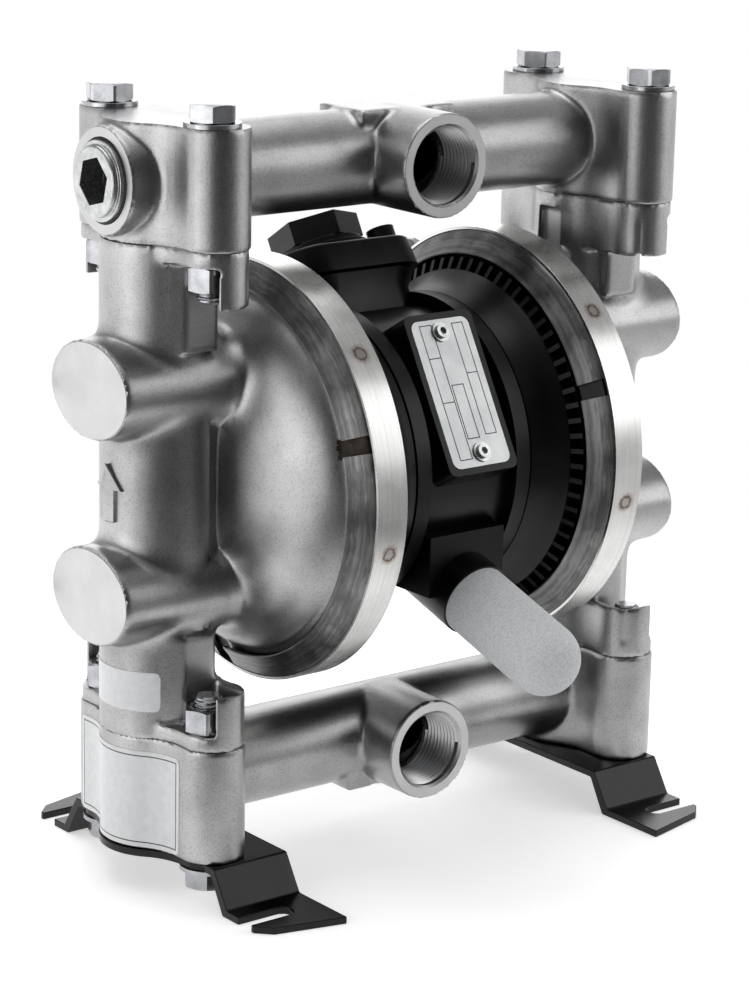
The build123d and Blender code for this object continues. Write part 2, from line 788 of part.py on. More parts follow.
def make_air_fitting():
    """Hexagon air inlet fitting: lip, hexagon, taper-threaded port and a spigot in the valve cover."""
    flats = hex_circumradius * sqrt(3)
    body = post(fitting_thread - slip, valve_cover_base + 1, lip_base)
    body += post(lip_radius, lip_base, hex_base)
    top = hexagon(flats, hex_base, hex_top, 0, 0, hex_turn)
    body += top
    body -= post(air_passage, valve_cover_base, hex_top)
    body -= post(air_port_bore, hex_top - air_port_depth, hex_top)
    mouth = Cone(air_port_bore, air_port_bore + 0.8, 0.8, align=(Align.CENTER, Align.CENTER, Align.MAX))
    return tilted(body - Pos(0, 0, hex_top) * mouth)


def make_valve_plate():
    """Wear plate with the two chamber ports and the exhaust port between them."""
    half = valve_plate_length / 2
    wide = valve_plate_width / 2
    body = block(-half, half, -valve_t - wide, -valve_t + wide, chest_floor, valve_plate_top)
    for i in (-1, 0, 1):
        x = i * port_pitch
        body -= slab(port_width, port_reach, 1.0, chest_floor, valve_plate_top, x, -valve_t)
    return tilted(body)


def make_valve_cup():
    """D-slide cup that joins one chamber port to the exhaust port."""
    wide = cup_width / 2
    low = valve_plate_top + slip
    body = block(-cup_half, cup_half, -valve_t - wide, -valve_t + wide, low, cup_top)
    hollow = slab(2 * cup_hollow_half, cup_width - 4, 2.0, low, cup_top - 2, 0, -valve_t)
    return tilted(body - hollow)


def make_carriage():
    """Carriage that carries the cup between the two actuator pistons."""
    wide = valve_plate_width / 2 - 1
    body = block(-carriage_half, carriage_half, -valve_t - wide, -valve_t + wide, cup_top - 3, carriage_top)
    pocket = cup_width / 2 + slip
    body -= block(-cup_half - slip, cup_half + slip, -valve_t - pocket, -valve_t + pocket, cup_top - 4, cup_top + slip)
    body -= rod(2.0, -carriage_half, carriage_half, -valve_t, piston_rho + 1.5)
    return tilted(body)


def make_pistons():
    """Two actuator pistons, each with a groove for its cup seal."""
    pistons = []
    for side in (-1, 1):
        piston = rod(piston_radius, side * carriage_half, side * piston_end, -valve_t, piston_rho)
        start = piston_end - cup_seal_width - 1.5
        groove = rod(piston_radius, side * start, side * (start + cup_seal_width), -valve_t, piston_rho)
        core = rod(piston_radius - cup_seal_depth, side * start, side * (start + cup_seal_width), -valve_t, piston_rho)
        pistons.append(tilted(piston - (groove - core)))
    return group(pistons)


def make_piston_seals():
    """Ring seals in the grooves of the actuator pistons."""
    seals = []
    for side in (-1, 1):
        start = piston_end - cup_seal_width - 1.5 + slip
        end = start + cup_seal_width - 2 * slip
        seal = rod(piston_radius, side * start, side * end, -valve_t, piston_rho)
        seal -= rod(piston_radius - cup_seal_depth, side * start, side * end, -valve_t, piston_rho)
        seals.append(tilted(seal))
    return group(seals)


def make_pilot_block():
    """Pilot block that shuttles between the two pilot pins."""
    low = chest_floor + gap
    body = block(-pilot_block_half, pilot_block_half, -pilot_t - 4.5, -pilot_t + 4.5, low, pilot_rho + 5)
    body -= rod(pilot_pin_radius, -pilot_block_half, -pilot_block_half + 2.5, -pilot_t, pilot_rho)
    return tilted(body - rod(pilot_pin_radius, pilot_block_half - 2.5, pilot_block_half, -pilot_t, pilot_rho))


def make_pilot_pins():
    """Two pilot pins that reach into the air chambers, where the diaphragm plates push them."""
    start = pilot_block_half - 2.5
    pins = []
    for side in (-1, 1):
        stem = rod(pilot_pin_radius, side * start, side * pilot_tip, -pilot_t, pilot_rho)
        pins.append(tilted(chamfer(stem.edges().group_by(Axis.X)[-1 if side > 0 else 0], 0.5)))
    return group(pins)


def make_pilot_bushes():
    """Bushes that guide the pilot pins in the air covers."""
    bushes = []
    for side in (-1, 1):
        start = dish_floor - pilot_bush_length
        bush = rod(pilot_bush_radius, side * start, side * dish_floor, -pilot_t, pilot_rho)
        bore = rod(pilot_pin_radius + slip, side * start, side * dish_floor, -pilot_t, pilot_rho)
        bushes.append(tilted(bush - bore))
    return group(bushes)


def on_pad(shape):
    """Places a shape drawn with Z outward and Y along the plate on the plate's pad."""
    return tilted(Pos(0, 0, plate_rise) * Rot(90, 0, 0) * shape)


def make_name_plate():
    """Blank metal plate in the pad's recess, drilled for its two screws."""
    body = slab(plate_width, plate_length, plate_corner, plate_face - plate_thickness, plate_face)
    for x, z in plate_screw_places():
        body -= post(plate_screw_radius + gap, 0, plate_face + 1, x, z - plate_rise)
    return on_pad(body)


def make_plate_screws():
    """Two small flanged socket screws that hold the plate."""
    screws = []
    for x, z in plate_screw_places():
        y = z - plate_rise
        screw = post(plate_screw_radius, plate_face - plate_screw_length, plate_face, x, y)
        screw += post(plate_screw_flange, plate_face, plate_face + 0.7, x, y)
        screw += post(plate_screw_flange - 1.0, plate_face + 0.7, plate_face + 1.9, x, y)
        screw -= hexagon(2.4, plate_face + 0.5, plate_face + 1.9, x, y)
        screws.append(on_pad(screw))
    return group(screws)


def make_muffler():
    """Porous exhaust muffler: a hollow round-nosed cylinder on a threaded spigot."""
    body = Cylinder(muffler_radius, muffler_length - muffler_radius, align=(Align.CENTER, Align.CENTER, Align.MIN))
    body += Pos(0, 0, muffler_length - muffler_radius) * Sphere(muffler_radius)
    body += Pos(0, 0, -spigot_length) * Cylinder(spigot_radius, spigot_length + 1, align=(Align.CENTER, Align.CENTER, Align.MIN))
    depth = muffler_length - muffler_radius + spigot_length
    body -= Pos(0, 0, -spigot_length) * Cylinder(muffler_bore, depth, align=(Align.CENTER, Align.CENTER, Align.MIN))
    return Pos(0, -muffler_back_y, muffler_back_z) * Rot(90 + muffler_tilt, 0, 0) * body


def make_shaft():
    """Diaphragm shaft, tapped at both ends."""
    body = rod(shaft_radius, -shaft_half, shaft_half, 0, shaft_height)
    body = chamfer(body.edges().filter_by(GeomType.CIRCLE), 0.6)
    for side in (-1, 1):
        body -= rod(shaft_bolt_radius, side * (shaft_half - shaft_bolt_depth - 1), side * shaft_half, 0, shaft_height)
    return body


def make_air_plates():
    """Two inner plates that back the diaphragms on the air side."""
    inner = shaft_half
    outer = inner + inner_plate_thickness
    outline = [(inner, shaft_bolt_radius), (inner, inner_plate_radius - 3), (inner + 2, inner_plate_radius)]
    plate = ring(outline + [(outer, inner_plate_radius), (outer, shaft_bolt_radius)])
    return group([plate, mirrored(plate, -1)])


def make_fluid_plates():
    """Two outer plates that clamp the diaphragms on the fluid side."""
    inner = diaphragm_x + diaphragm_thickness / 2
    outer = inner + outer_plate_thickness
    outline = [(inner, shaft_bolt_radius), (inner, outer_plate_radius), (inner + 1.4, outer_plate_radius)]
    outline += [(outer, 20), (outer, shaft_bolt_radius)]
    plate = ring(outline)
    return group([plate, mirrored(plate, -1)])


def make_shaft_bolts():
    """Two bolts that hold plates and diaphragm on the shaft's ends."""
    seat = diaphragm_x + diaphragm_thickness / 2 + outer_plate_thickness
    body = rod(shaft_bolt_radius, shaft_half - shaft_bolt_depth, seat, 0, shaft_height)
    head = Rot(0, 90, 0) * extrude(RegularPolygon(shaft_bolt_flats / 2, 6, False), shaft_bolt_head)
    body += Pos(seat, 0, shaft_height) * head
    return group([body, mirrored(body, -1)])


def make_diaphragm():
    """Diaphragm of the +X side: clamped bead, rolling fold and flat centre."""
    thin = diaphragm_thickness / 2
    bead = bead_thickness / 2
    middle = (convolution_radius + bead_inner_radius) / 2
    start, end = convolution_radius, bead_inner_radius
    with BuildSketch() as section:
        with BuildLine():
            Polyline((thin, start), (thin, shaft_bolt_radius), (-thin, shaft_bolt_radius), (-thin, start))
            Spline(
                (-thin, start),
                (-thin - convolution_depth, middle),
                (-thin, end),
                tangents=((0, 1), (0, 1)),
            )
            Polyline((-thin, end), (-bead, end), (-bead, bead_radius), (bead, bead_radius), (bead, end), (thin, end))
            Spline((thin, end), (thin - convolution_depth, middle), (thin, start), tangents=((0, -1), (0, -1)))
        make_face()
    return Pos(diaphragm_x, 0, shaft_height) * revolve(section.sketch, Axis.X)


def make_bolt(seat, length, way):
    """Hexagon head bolt whose head bears on a level; way is +1 for a head on top."""
    places = []
    low, high = sorted((seat, seat + way * head_height))
    for x, y in bolt_places():
        head = hexagon(head_flats, low, high, x, y, front_head_turn if y < 0 else rear_head_turn)
        head = head & post(nut_corner - head_chamfer, low, high, x, y)
        shank = post(bolt_radius, seat - way * length, seat, x, y)
        places.append(head + shank)
    return group(places)


def make_washers(level):
    """Four plain washers standing on a level."""
    places = []
    for x, y in bolt_places():
        washer = post(washer_radius, level, level + washer_thickness, x, y)
        places.append(washer - post(hole_radius, level, level + washer_thickness, x, y))
    return group(places)


def make_nuts(level):
    """Four hexagon nuts standing on a level."""
    places = []
    for x, y in bolt_places():
        nut = hexagon(head_flats, level, level + nut_height, x, y, nut_turn)
        places.append(nut - post(bolt_radius, level, level + nut_height, x, y))
    return group(places)


def make_foot():
    """Bent sheet foot of the +X side: bridge plate under the manifold, two risers and two slotted pads."""
    top = bottom_flat
    knee = foot_sheet
    front = [(foot_top_half, top), (foot_riser_half, knee), (foot_tip_y, knee), (foot_tip_y, 0)]
    front += [(foot_riser_half - knee, 0), (foot_top_half - knee * 0.7, top - foot_sheet)]
    outline = front + [(-y, z) for y, z in reversed(front)]
    profile = Plane.YZ.offset(foot_inboard) * make_face(Polyline(*outline, close=True))
    body = extrude(profile, foot_outboard - foot_inboard)
    bends = body.edges().filter_by(Axis.X).filter_by(lambda e: abs(e.center().Y) < foot_riser_half + 1)
    body = fillet(bends, foot_sheet * 0.45)
    lobe = Pos(column_x, 0) * Circle(foot_bulge_radius)
    for side in (-1, 1):
        boss = (column_x, side * bolt_y)
        lobe += Pos(*boss) * Circle(foot_boss_radius)
        lobe += bone_web((column_x, 0), foot_bulge_radius, boss, foot_boss_radius, -side)
    lobe &= Pos(column_x + far / 2, 0) * Rectangle(far, far)
    body += Pos(0, 0, top - foot_sheet) * extrude(lobe, foot_sheet)
    for side in (-1, 1):
        corner = [
            (foot_inboard + 0.5, foot_tip_y),
            (foot_end_x, foot_end_y),
            (foot_outboard, foot_corner_y),
            (foot_outboard + 1, foot_tip_y + 1),
            (foot_inboard, foot_tip_y + 1),
        ]
        waste = make_face(Polyline(*[(x, side * y) for x, y in corner], close=True))
        body -= Pos(0, 0, -1) * extrude(waste, knee + 2, both=True)
        y = side * slot_y
        body -= post(slot_width / 2, -1, knee + 1, slot_end_x + slot_width / 2, y)
        half = slot_width / 2
        body -= block(slot_end_x + half, foot_outboard + 1, y - half, y + half, -1, knee + 1)
        body -= post(hole_radius, top - foot_sheet, top, column_x, side * bolt_y)
    return body


os.makedirs("parts", exist_ok=True)

plug = make_plug()
save("outlet_manifold", make_manifold(True))
save("inlet_manifold", make_inlet_manifold())
save("outlet_plug", plug)
save("inlet_plug", turned_over(plug))

fluid_cover = make_fluid_cover()
air_cover = make_air_cover()
diaphragm = make_diaphragm()
foot = make_foot()
for name, side in (("left", -1), ("right", 1)):
    save("fluid_cover_" + name, mirrored(fluid_cover, side))
    save("air_cover_" + name, mirrored(air_cover, side))
    save("diaphragm_" + name, mirrored(diaphragm, side))
    save("foot_" + name, mirrored(foot, side))

latch_nuts = []
for name, side in (("left", -1), ("right", 1)):
    turn = 0 if side < 0 else -far_clamp_turn
    about_shaft = Pos(0, 0, shaft_height) * Rot(turn, 0, 0) * Pos(0, 0, -shaft_height)
    save("clamp_segments_" + name, about_shaft * mirrored(make_segments(), side))
    save("clamp_strap_" + name, about_shaft * mirrored(make_strap(), side))
    save("clamp_latch_" + name, about_shaft * mirrored(make_latch_bolt(), side))
    latch_nuts.append(about_shaft * mirrored(make_latch_nut(), side))
save("clamp_nuts", group(latch_nuts))

gasket = make_cover_gasket()
save("cover_gaskets", group([gasket, mirrored(gasket, -1)]))
save("air_cover_screws", make_cover_screws())
save("centre_housing", make_centre_housing())
save("shaft_bearings", make_shaft_bearings())
save("shaft_seals", make_shaft_seals())
save("valve_cover", make_valve_cover())
save("valve_cover_gasket", make_valve_gasket())
save("valve_cover_screws", make_cover_bolts())
save("air_inlet_fitting", make_air_fitting())
save("valve_plate", make_valve_plate())
save("valve_cup", make_valve_cup())
save("valve_carriage", make_carriage())
save("actuator_pistons", make_pistons())
save("piston_seals", make_piston_seals())
save("pilot_block", make_pilot_block())
save("pilot_pins", make_pilot_pins())
save("pilot_bushes", make_pilot_bushes())
save("name_plate", make_name_plate())
save("name_plate_screws", make_plate_screws())
save("muffler", make_muffler())
save("diaphragm_shaft", make_shaft())
save("air_plates", make_air_plates())
save("fluid_plates", make_fluid_plates())
save("shaft_bolts", make_shaft_bolts())

inlet_seat = make_seat(bottom_joint)
outlet_seat = make_seat(top_joint)
inlet_seal = make_seat_seal(bottom_joint)
outlet_seal = make_seat_seal(top_joint)
save("inlet_seats", group([inlet_seat, mirrored(inlet_seat, -1)]))
save("outlet_seats", group([outlet_seat, mirrored(outlet_seat, -1)]))
save("inlet_seat_seals", group([inlet_seal, mirrored(inlet_seal, -1)]))
save("outlet_seat_seals", group([outlet_seal, mirrored(outlet_seal, -1)]))
for name, side in (("left", -1), ("right", 1)):
    save("inlet_ball_" + name, Pos(side * column_x, 0, bottom_joint + ball_rise) * Sphere(ball_radius))
    save("outlet_ball_" + name, Pos(side * column_x, 0, top_joint + ball_rise) * Sphere(ball_radius))

top_seat = top_flat + washer_thickness
top_end = top_joint - ear_flange - nut_height - bolt_stand_out
bottom_seat = bottom_flat - foot_sheet - washer_thickness
bottom_end = bottom_joint + ear_flange + nut_height + bolt_stand_out
save("top_bolts", make_bolt(top_seat, top_seat - top_end, 1))
save("top_washers", make_washers(top_flat))
save("top_nuts", make_nuts(top_joint - ear_flange - nut_height))
save("bottom_bolts", make_bolt(bottom_seat, bottom_end - bottom_seat, -1))
save("bottom_washers", make_washers(bottom_flat - foot_sheet - washer_thickness))
save("bottom_nuts", make_nuts(bottom_joint + ear_flange))
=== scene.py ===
import math

import bmesh
import bpy
import numpy
from mathutils import Matrix, Vector
from mathutils.bvhtree import BVHTree


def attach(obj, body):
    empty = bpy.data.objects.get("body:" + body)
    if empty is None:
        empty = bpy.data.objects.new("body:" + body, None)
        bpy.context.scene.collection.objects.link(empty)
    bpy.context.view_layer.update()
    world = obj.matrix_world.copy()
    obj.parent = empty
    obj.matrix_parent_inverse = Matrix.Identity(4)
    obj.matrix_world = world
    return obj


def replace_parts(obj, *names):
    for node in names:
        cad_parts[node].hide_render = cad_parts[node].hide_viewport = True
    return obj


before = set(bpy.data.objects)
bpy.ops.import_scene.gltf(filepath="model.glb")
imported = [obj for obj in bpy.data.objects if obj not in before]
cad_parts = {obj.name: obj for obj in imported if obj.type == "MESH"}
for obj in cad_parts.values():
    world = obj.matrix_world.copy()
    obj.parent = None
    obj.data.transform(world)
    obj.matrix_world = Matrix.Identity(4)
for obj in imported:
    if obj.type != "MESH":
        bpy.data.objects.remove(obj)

scene = bpy.context.scene
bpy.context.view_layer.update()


# Camera
# A long lens looks a little down on the pump from its front left, with the port side towards the viewer. Its
# focal length is given in pixels of a picture that is 1000 pixels high.
MM = 0.001
PICTURE_HIGH, FOCAL_PIXELS, SENSOR_MM = 1000, 3173.23, 36.0
AZIMUTH, ELEVATION, ROLL = (math.radians(angle) for angle in (-38.28, 14.83, 1.23))
DISTANCE_MM, AIM_LEFT_MM, AIM_HIGH_MM = 1110.37, 1.37, 117.14
run = math.cos(ELEVATION)
back = Vector((math.sin(AZIMUTH) * run, -math.cos(AZIMUTH) * run, math.sin(ELEVATION)))
sideways = Vector((math.cos(AZIMUTH), math.sin(AZIMUTH), 0))
above = back.cross(sideways)
right = sideways * math.cos(ROLL) + above * math.sin(ROLL)
upward = above * math.cos(ROLL) - sideways * math.sin(ROLL)
eye = sideways * -AIM_LEFT_MM * MM + Vector((0, 0, AIM_HIGH_MM * MM)) + back * DISTANCE_MM * MM
lens = bpy.data.cameras.new("view")
lens.sensor_fit = "AUTO"
lens.sensor_width = SENSOR_MM
lens.lens = FOCAL_PIXELS * SENSOR_MM / PICTURE_HIGH
lens.clip_start = 0.01
lens.clip_end = 50
camera = bpy.data.objects.new("view", lens)
camera.matrix_world = Matrix([(right[i], upward[i], back[i], eye[i]) for i in range(3)] + [(0, 0, 0, 1)])
scene.collection.objects.link(camera)
scene.camera = camera
scene.view_settings.view_transform = "Standard"


# Studio
# A white cyclorama with a dark space round the camera, so that bright metal shows a dark core between two
# pale sides. Three large soft boxes and a rear light draw soft shadows on white paper.
def tint(code):
    """sRGB hex as linear RGBA."""
    values = [int(code[i : i + 2], 16) / 255 for i in (1, 3, 5)]
    return [v / 12.92 if v <= 0.04045 else ((v + 0.055) / 1.055) ** 2.4 for v in values] + [1.0]


def add(tree, kind, inputs=None, stops=(), **settings):
    """Adds a node: settings are its own, inputs are values, sockets or nodes by input name or number, and a
    ramp's stops are places with hex colours or grey values. A node stands for its first output."""
    made = tree.nodes.new(kind)
    for name, value in settings.items():
        setattr(made, name, value)
    for name, value in (inputs or {}).items():
        if isinstance(value, bpy.types.Node):
            value = value.outputs[0]
        if isinstance(value, bpy.types.NodeSocket):
            tree.links.new(value, made.inputs[name])
        else:
            made.inputs[name].default_value = value
    if stops:
        bar = made.color_ramp.elements
        while len(bar) < len(stops):
            bar.new(0.5)
        for element, (place, code) in zip(bar, stops):
            element.position = place
            element.color = tint(code) if isinstance(code, str) else (code, code, code, 1.0)
    return made


def blank(name):
    """A material without nodes, and its tree."""
    made = bpy.data.materials.new(name)
    made.use_nodes = True
    made.node_tree.nodes.clear()
    return made, made.node_tree


def facing(tree, vector, way):
    """From 0 to 1 as a vector turns from the opposite of a way to the way itself."""
    along = add(tree, "ShaderNodeVectorMath", {0: vector, 1: way}, operation="DOT_PRODUCT")
    return add(tree, "ShaderNodeMath", {0: along.outputs["Value"], 1: 0.5, 2: 0.5}, operation="MULTIPLY_ADD")


FRONT, SIDE, UP = (-0.33, -0.944, 0.0), (0.785, -0.62, 0.0), (0.0, 0.0, 1.0)
# The room's brightness falls off towards the front, across to the side and up from the horizon.
FRONT_FALL = ((0.0, 0.85), (0.45, 1.05), (0.62, 1.0), (0.76, 0.45), (0.87, 0.14), (1.0, 0.07))
SIDE_FALL = ((0.0, 1.3), (0.3, 1.15), (0.55, 0.9), (1.0, 0.85))
HEIGHT_FALL = ((0.0, 1.0), (0.06, 1.0), (0.25, 0.75), (0.5, 0.32), (0.8, 0.4), (1.0, 0.7))
room = bpy.data.worlds.new("room")
scene.world = room
room.use_nodes = True
tree = room.node_tree
tree.nodes.clear()
rays = add(tree, "ShaderNodeLightPath")
sky = add(tree, "ShaderNodeTexCoord").outputs["Generated"]
ahead = add(tree, "ShaderNodeValToRGB", {"Fac": facing(tree, sky, FRONT)}, FRONT_FALL)
across = add(tree, "ShaderNodeValToRGB", {"Fac": facing(tree, sky, SIDE)}, SIDE_FALL)
rise = add(tree, "ShaderNodeVectorMath", {0: sky, 1: UP}, operation="DOT_PRODUCT").outputs["Value"]
height = add(tree, "ShaderNodeValToRGB", {"Fac": rise}, HEIGHT_FALL)
walls = add(tree, "ShaderNodeVectorMath", {0: ahead, 1: across}, operation="MULTIPLY")
cyclorama = add(tree, "ShaderNodeVectorMath", {0: walls, 1: height}, operation="MULTIPLY")
dim = add(tree, "ShaderNodeBackground", {"Color": cyclorama, "Strength": 1.0})
white = add(tree, "ShaderNodeBackground", {"Color": (1, 1, 1, 1), "Strength": 1.0})
seen = add(tree, "ShaderNodeMixShader", {0: rays.outputs["Is Camera Ray"], 1: dim, 2: white})
add(tree, "ShaderNodeOutputWorld", {"Surface": seen})

# White paper: to the eye it fades to pure white away from the pump, and keeps the shadow near the feet. The
# fades run between two distances from the pump's centre, in metres.
PAPER_WHITE, PAPER_GLOW, PAPER_HALF = "#f7f7f7", 0.5, 3.0
SHADOW_FADE, MIRROR_FADE = (0.2, 0.45), (0.16, 0.3)
PAPER_FALL = ((0.5, 1.15), (0.68, 1.1), (0.8, 0.5), (0.9, 0.2), (1.0, 0.12))
paper, tree = blank("white_paper")
rays = add(tree, "ShaderNodeLightPath")
matt = add(tree, "ShaderNodeBsdfDiffuse", {"Color": tint(PAPER_WHITE)})
glow = add(tree, "ShaderNodeEmission", {"Color": (1, 1, 1, 1), "Strength": PAPER_GLOW})
lift = add(tree, "ShaderNodeAddShader", {0: matt, 1: glow})
pure = add(tree, "ShaderNodeEmission", {"Color": (1, 1, 1, 1), "Strength": 1.0})
place = add(tree, "ShaderNodeTexCoord").outputs["Object"]
away = add(tree, "ShaderNodeVectorMath", {0: place}, operation="LENGTH").outputs["Value"]
span = {"Value": away, "From Min": SHADOW_FADE[0], "From Max": SHADOW_FADE[1]}
fade = add(tree, "ShaderNodeMapRange", span, interpolation_type="SMOOTHSTEP")
sheet = add(tree, "ShaderNodeMixShader", {0: fade, 1: lift, 2: pure})
# In reflections the paper ends in front of the pump, where the dark room behind the camera begins.
outward = add(tree, "ShaderNodeVectorMath", {0: place}, operation="NORMALIZE")
gloom = add(tree, "ShaderNodeValToRGB", {"Fac": facing(tree, outward, FRONT)}, PAPER_FALL)
across = add(tree, "ShaderNodeValToRGB", {"Fac": facing(tree, outward, SIDE)}, SIDE_FALL)
shaded = add(tree, "ShaderNodeVectorMath", {0: gloom, 1: across}, operation="MULTIPLY")
dusk = add(tree, "ShaderNodeEmission", {"Color": shaded, "Strength": 1.0})
span = {"Value": away, "From Min": MIRROR_FADE[0], "From Max": MIRROR_FADE[1]}
edge = add(tree, "ShaderNodeMapRange", span, interpolation_type="SMOOTHSTEP")
mirrored = add(tree, "ShaderNodeMixShader", {0: edge, 1: lift, 2: dusk})
plain = add(tree, "ShaderNodeMixShader", {0: rays.outputs["Is Camera Ray"], 1: matt, 2: sheet})
mixed = add(tree, "ShaderNodeMixShader", {0: rays.outputs["Is Glossy Ray"], 1: plain, 2: mirrored})
add(tree, "ShaderNodeOutputMaterial", {"Surface": mixed})

mesh = bpy.data.meshes.new("paper_floor")
form = bmesh.new()
bmesh.ops.create_grid(form, x_segments=1, y_segments=1, size=PAPER_HALF)
form.to_mesh(mesh)
form.free()
mesh.materials.append(paper)
floor = bpy.data.objects.new("paper_floor", mesh)
scene.collection.objects.link(floor)

LAMP_AIM = Vector((0, 0, 0.13))
for name, place, size, watts in (
    ("soft_box_left", (-1.2, -0.2, 0.14), 1.1, 4.6),
    ("soft_box_right", (0.9, -0.75, 0.6), 0.8, 3.4),
    ("top_light", (0.1, 0.3, 1.3), 1.1, 6.5),
    ("rear_light", (0.7, 0.9, 0.6), 0.8, 3.0),
):
    lamp = bpy.data.lights.new(name, "AREA")
    lamp.size = size
    lamp.energy = watts
    lamp.color = (1, 1, 1)
    box = bpy.data.objects.new(name, lamp)
    box.location = place
    box.rotation_euler = (LAMP_AIM - Vector(place)).to_track_quat("-Z", "Y").to_euler()
    scene.collection.objects.link(box)


# Manifolds and fluid covers
# Investment castings in stainless steel, blasted with glass bead to an even satin grey. Corners and the
# meeting lines of their forms are soft from the mould, and only the joint faces are cut flat.
AXLE_Z = 136.7
MERGE_MM = 0.0005
# Fillets grow by this share of a hollow's depth in each pass, and normals are renewed after so many passes.
FILL_RATE, FILL_RENEW = 0.6, 5
# Points nearer to a machined plane than this share of a voxel are set on the plane.
SNAP = 0.3
# An outline's point on the axis of a turned piece stands this far off it, and the turned ring is welded.
ON_AXIS, AXIS_WELD_MM = 0.001, 0.02
THREAD_STEPS = 40


def spot(tree):
    """The object coordinates in millimetres, as a vector socket."""
    place = add(tree, "ShaderNodeTexCoord")
    scaled = add(tree, "ShaderNodeVectorMath", {0: place.outputs["Object"], 3: 1000.0}, operation="SCALE")
    return scaled.outputs[0]


def surface(tree, height, depth_mm, skin, strength=1.0, invert=False):
    """Ends a material: a bump from a height, and a principled shader with the given inputs."""
    relief = {"Height": height, "Distance": depth_mm * MM, "Strength": strength}
    bump = add(tree, "ShaderNodeBump", relief, invert=invert)
    shader = add(tree, "ShaderNodeBsdfPrincipled", {"Normal": bump, **skin})
    add(tree, "ShaderNodeOutputMaterial", {"Surface": shader})


def grained(name, dark, light, rough, grain_mm, depth_mm, cloud_mm=14.0, speck=1.0, metallic=1.0):
    """A skin whose colour drifts in soft clouds and which has an even grain, metal if not told otherwise;
    rough is a pair, and speck the share of light that the grain's hollows give back."""
    made, tree = blank(name)
    here = spot(tree)
    broad = {"Vector": here, "Scale": 1 / cloud_mm, "Detail": 5.0, "Roughness": 0.6}
    cloud = add(tree, "ShaderNodeTexNoise", broad).outputs["Fac"]
    fine = {"Vector": here, "Scale": 1 / grain_mm, "Detail": 3.0, "Roughness": 0.65}
    grain = add(tree, "ShaderNodeTexNoise", fine).outputs["Fac"]
    tone = add(tree, "ShaderNodeValToRGB", {"Fac": cloud}, ((0.3, dark), (0.7, light)))
    hollow = add(tree, "ShaderNodeValToRGB", {"Fac": grain}, ((0.32, speck), (0.5, 1.0)))
    colour = add(tree, "ShaderNodeVectorMath", {0: tone, 1: hollow}, operation="MULTIPLY")
    gloss = add(tree, "ShaderNodeValToRGB", {"Fac": grain}, ((0.25, rough[0]), (0.75, rough[1])))
    surface(tree, grain, depth_mm, {"Base Color": colour, "Roughness": gloss, "Metallic": metallic})
    return made


def settle(form, name, materials, body="pump", angle=32.0, weld_mm=0.004):
    """Makes an object of a form: doubles merged, faces outwards, smooth up to an angle, riding on a body."""
    bmesh.ops.remove_doubles(form, verts=form.verts, dist=weld_mm * MM)
    bmesh.ops.recalc_face_normals(form, faces=form.faces)
    limit = math.radians(angle)
    for face in form.faces:
        face.smooth = True
    for edge in form.edges:
        edge.smooth = len(edge.link_faces) == 2 and edge.calc_face_angle(0.0) < limit
    mesh = bpy.data.meshes.new(name)
    form.to_mesh(mesh)
    form.free()
    for material in materials if isinstance(materials, (list, tuple)) else (materials,):
        mesh.materials.append(material)
    made = bpy.data.objects.new(name, mesh)
    scene.collection.objects.link(made)
    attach(made, body)
    return made


def copied(node):
    """A merged copy of a solid's mesh, as a form."""
    form = bmesh.new()
    form.from_mesh(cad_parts[node].data)
    for face in form.faces:
        face.material_index = 0
    bmesh.ops.remove_doubles(form, verts=form.verts, dist=MERGE_MM * MM)
    bmesh.ops.dissolve_degenerate(form, edges=form.edges, dist=MERGE_MM * MM)
    return form


def filled(mesh, passes, share):
    """Fills concave creases with soft fillets: points in a hollow move out along their normals, each by the
    share that its place in millimetres and its normal give it."""
    count = len(mesh.vertices)
    ends = numpy.empty(2 * len(mesh.edges), numpy.int32)
    mesh.edges.foreach_get("vertices", ends)
    first, second = ends[0::2], ends[1::2]
    degree = numpy.bincount(ends, minlength=count)
    place = numpy.empty(3 * count)
    normal = numpy.empty(3 * count)
    mesh.vertices.foreach_get("co", place)
    for step in range(passes):
        if step % FILL_RENEW == 0:
            mesh.vertices.foreach_set("co", place)
            mesh.update()
            mesh.vertices.foreach_get("normal", normal)
            outward = normal.reshape(-1, 3)
            part = share(place.reshape(-1, 3) / MM, outward)
        spots = place.reshape(-1, 3)
        rise = numpy.zeros(count)
        for axis in range(3):
            line = spots[:, axis]
            total = numpy.bincount(first, line[second], count) + numpy.bincount(second, line[first], count)
            rise += (total / degree - line) * outward[:, axis]
        move = FILL_RATE * part * numpy.maximum(rise, 0.0)
        place = (spots + outward * move[:, None]).ravel()
    mesh.vertices.foreach_set("co", place)
    mesh.update()


def upright(form, corners, low, high):
    """Adds a prism to a form: corners are (x, y), all in millimetres."""
    rings = [[form.verts.new((x * MM, y * MM, z * MM)) for x, y in corners] for z in (low, high)]
    form.faces.new(rings[0])
    form.faces.new(rings[1])
    for i in range(len(corners)):
        form.faces.new((rings[0][i - 1], rings[0][i], rings[1][i], rings[1][i - 1]))


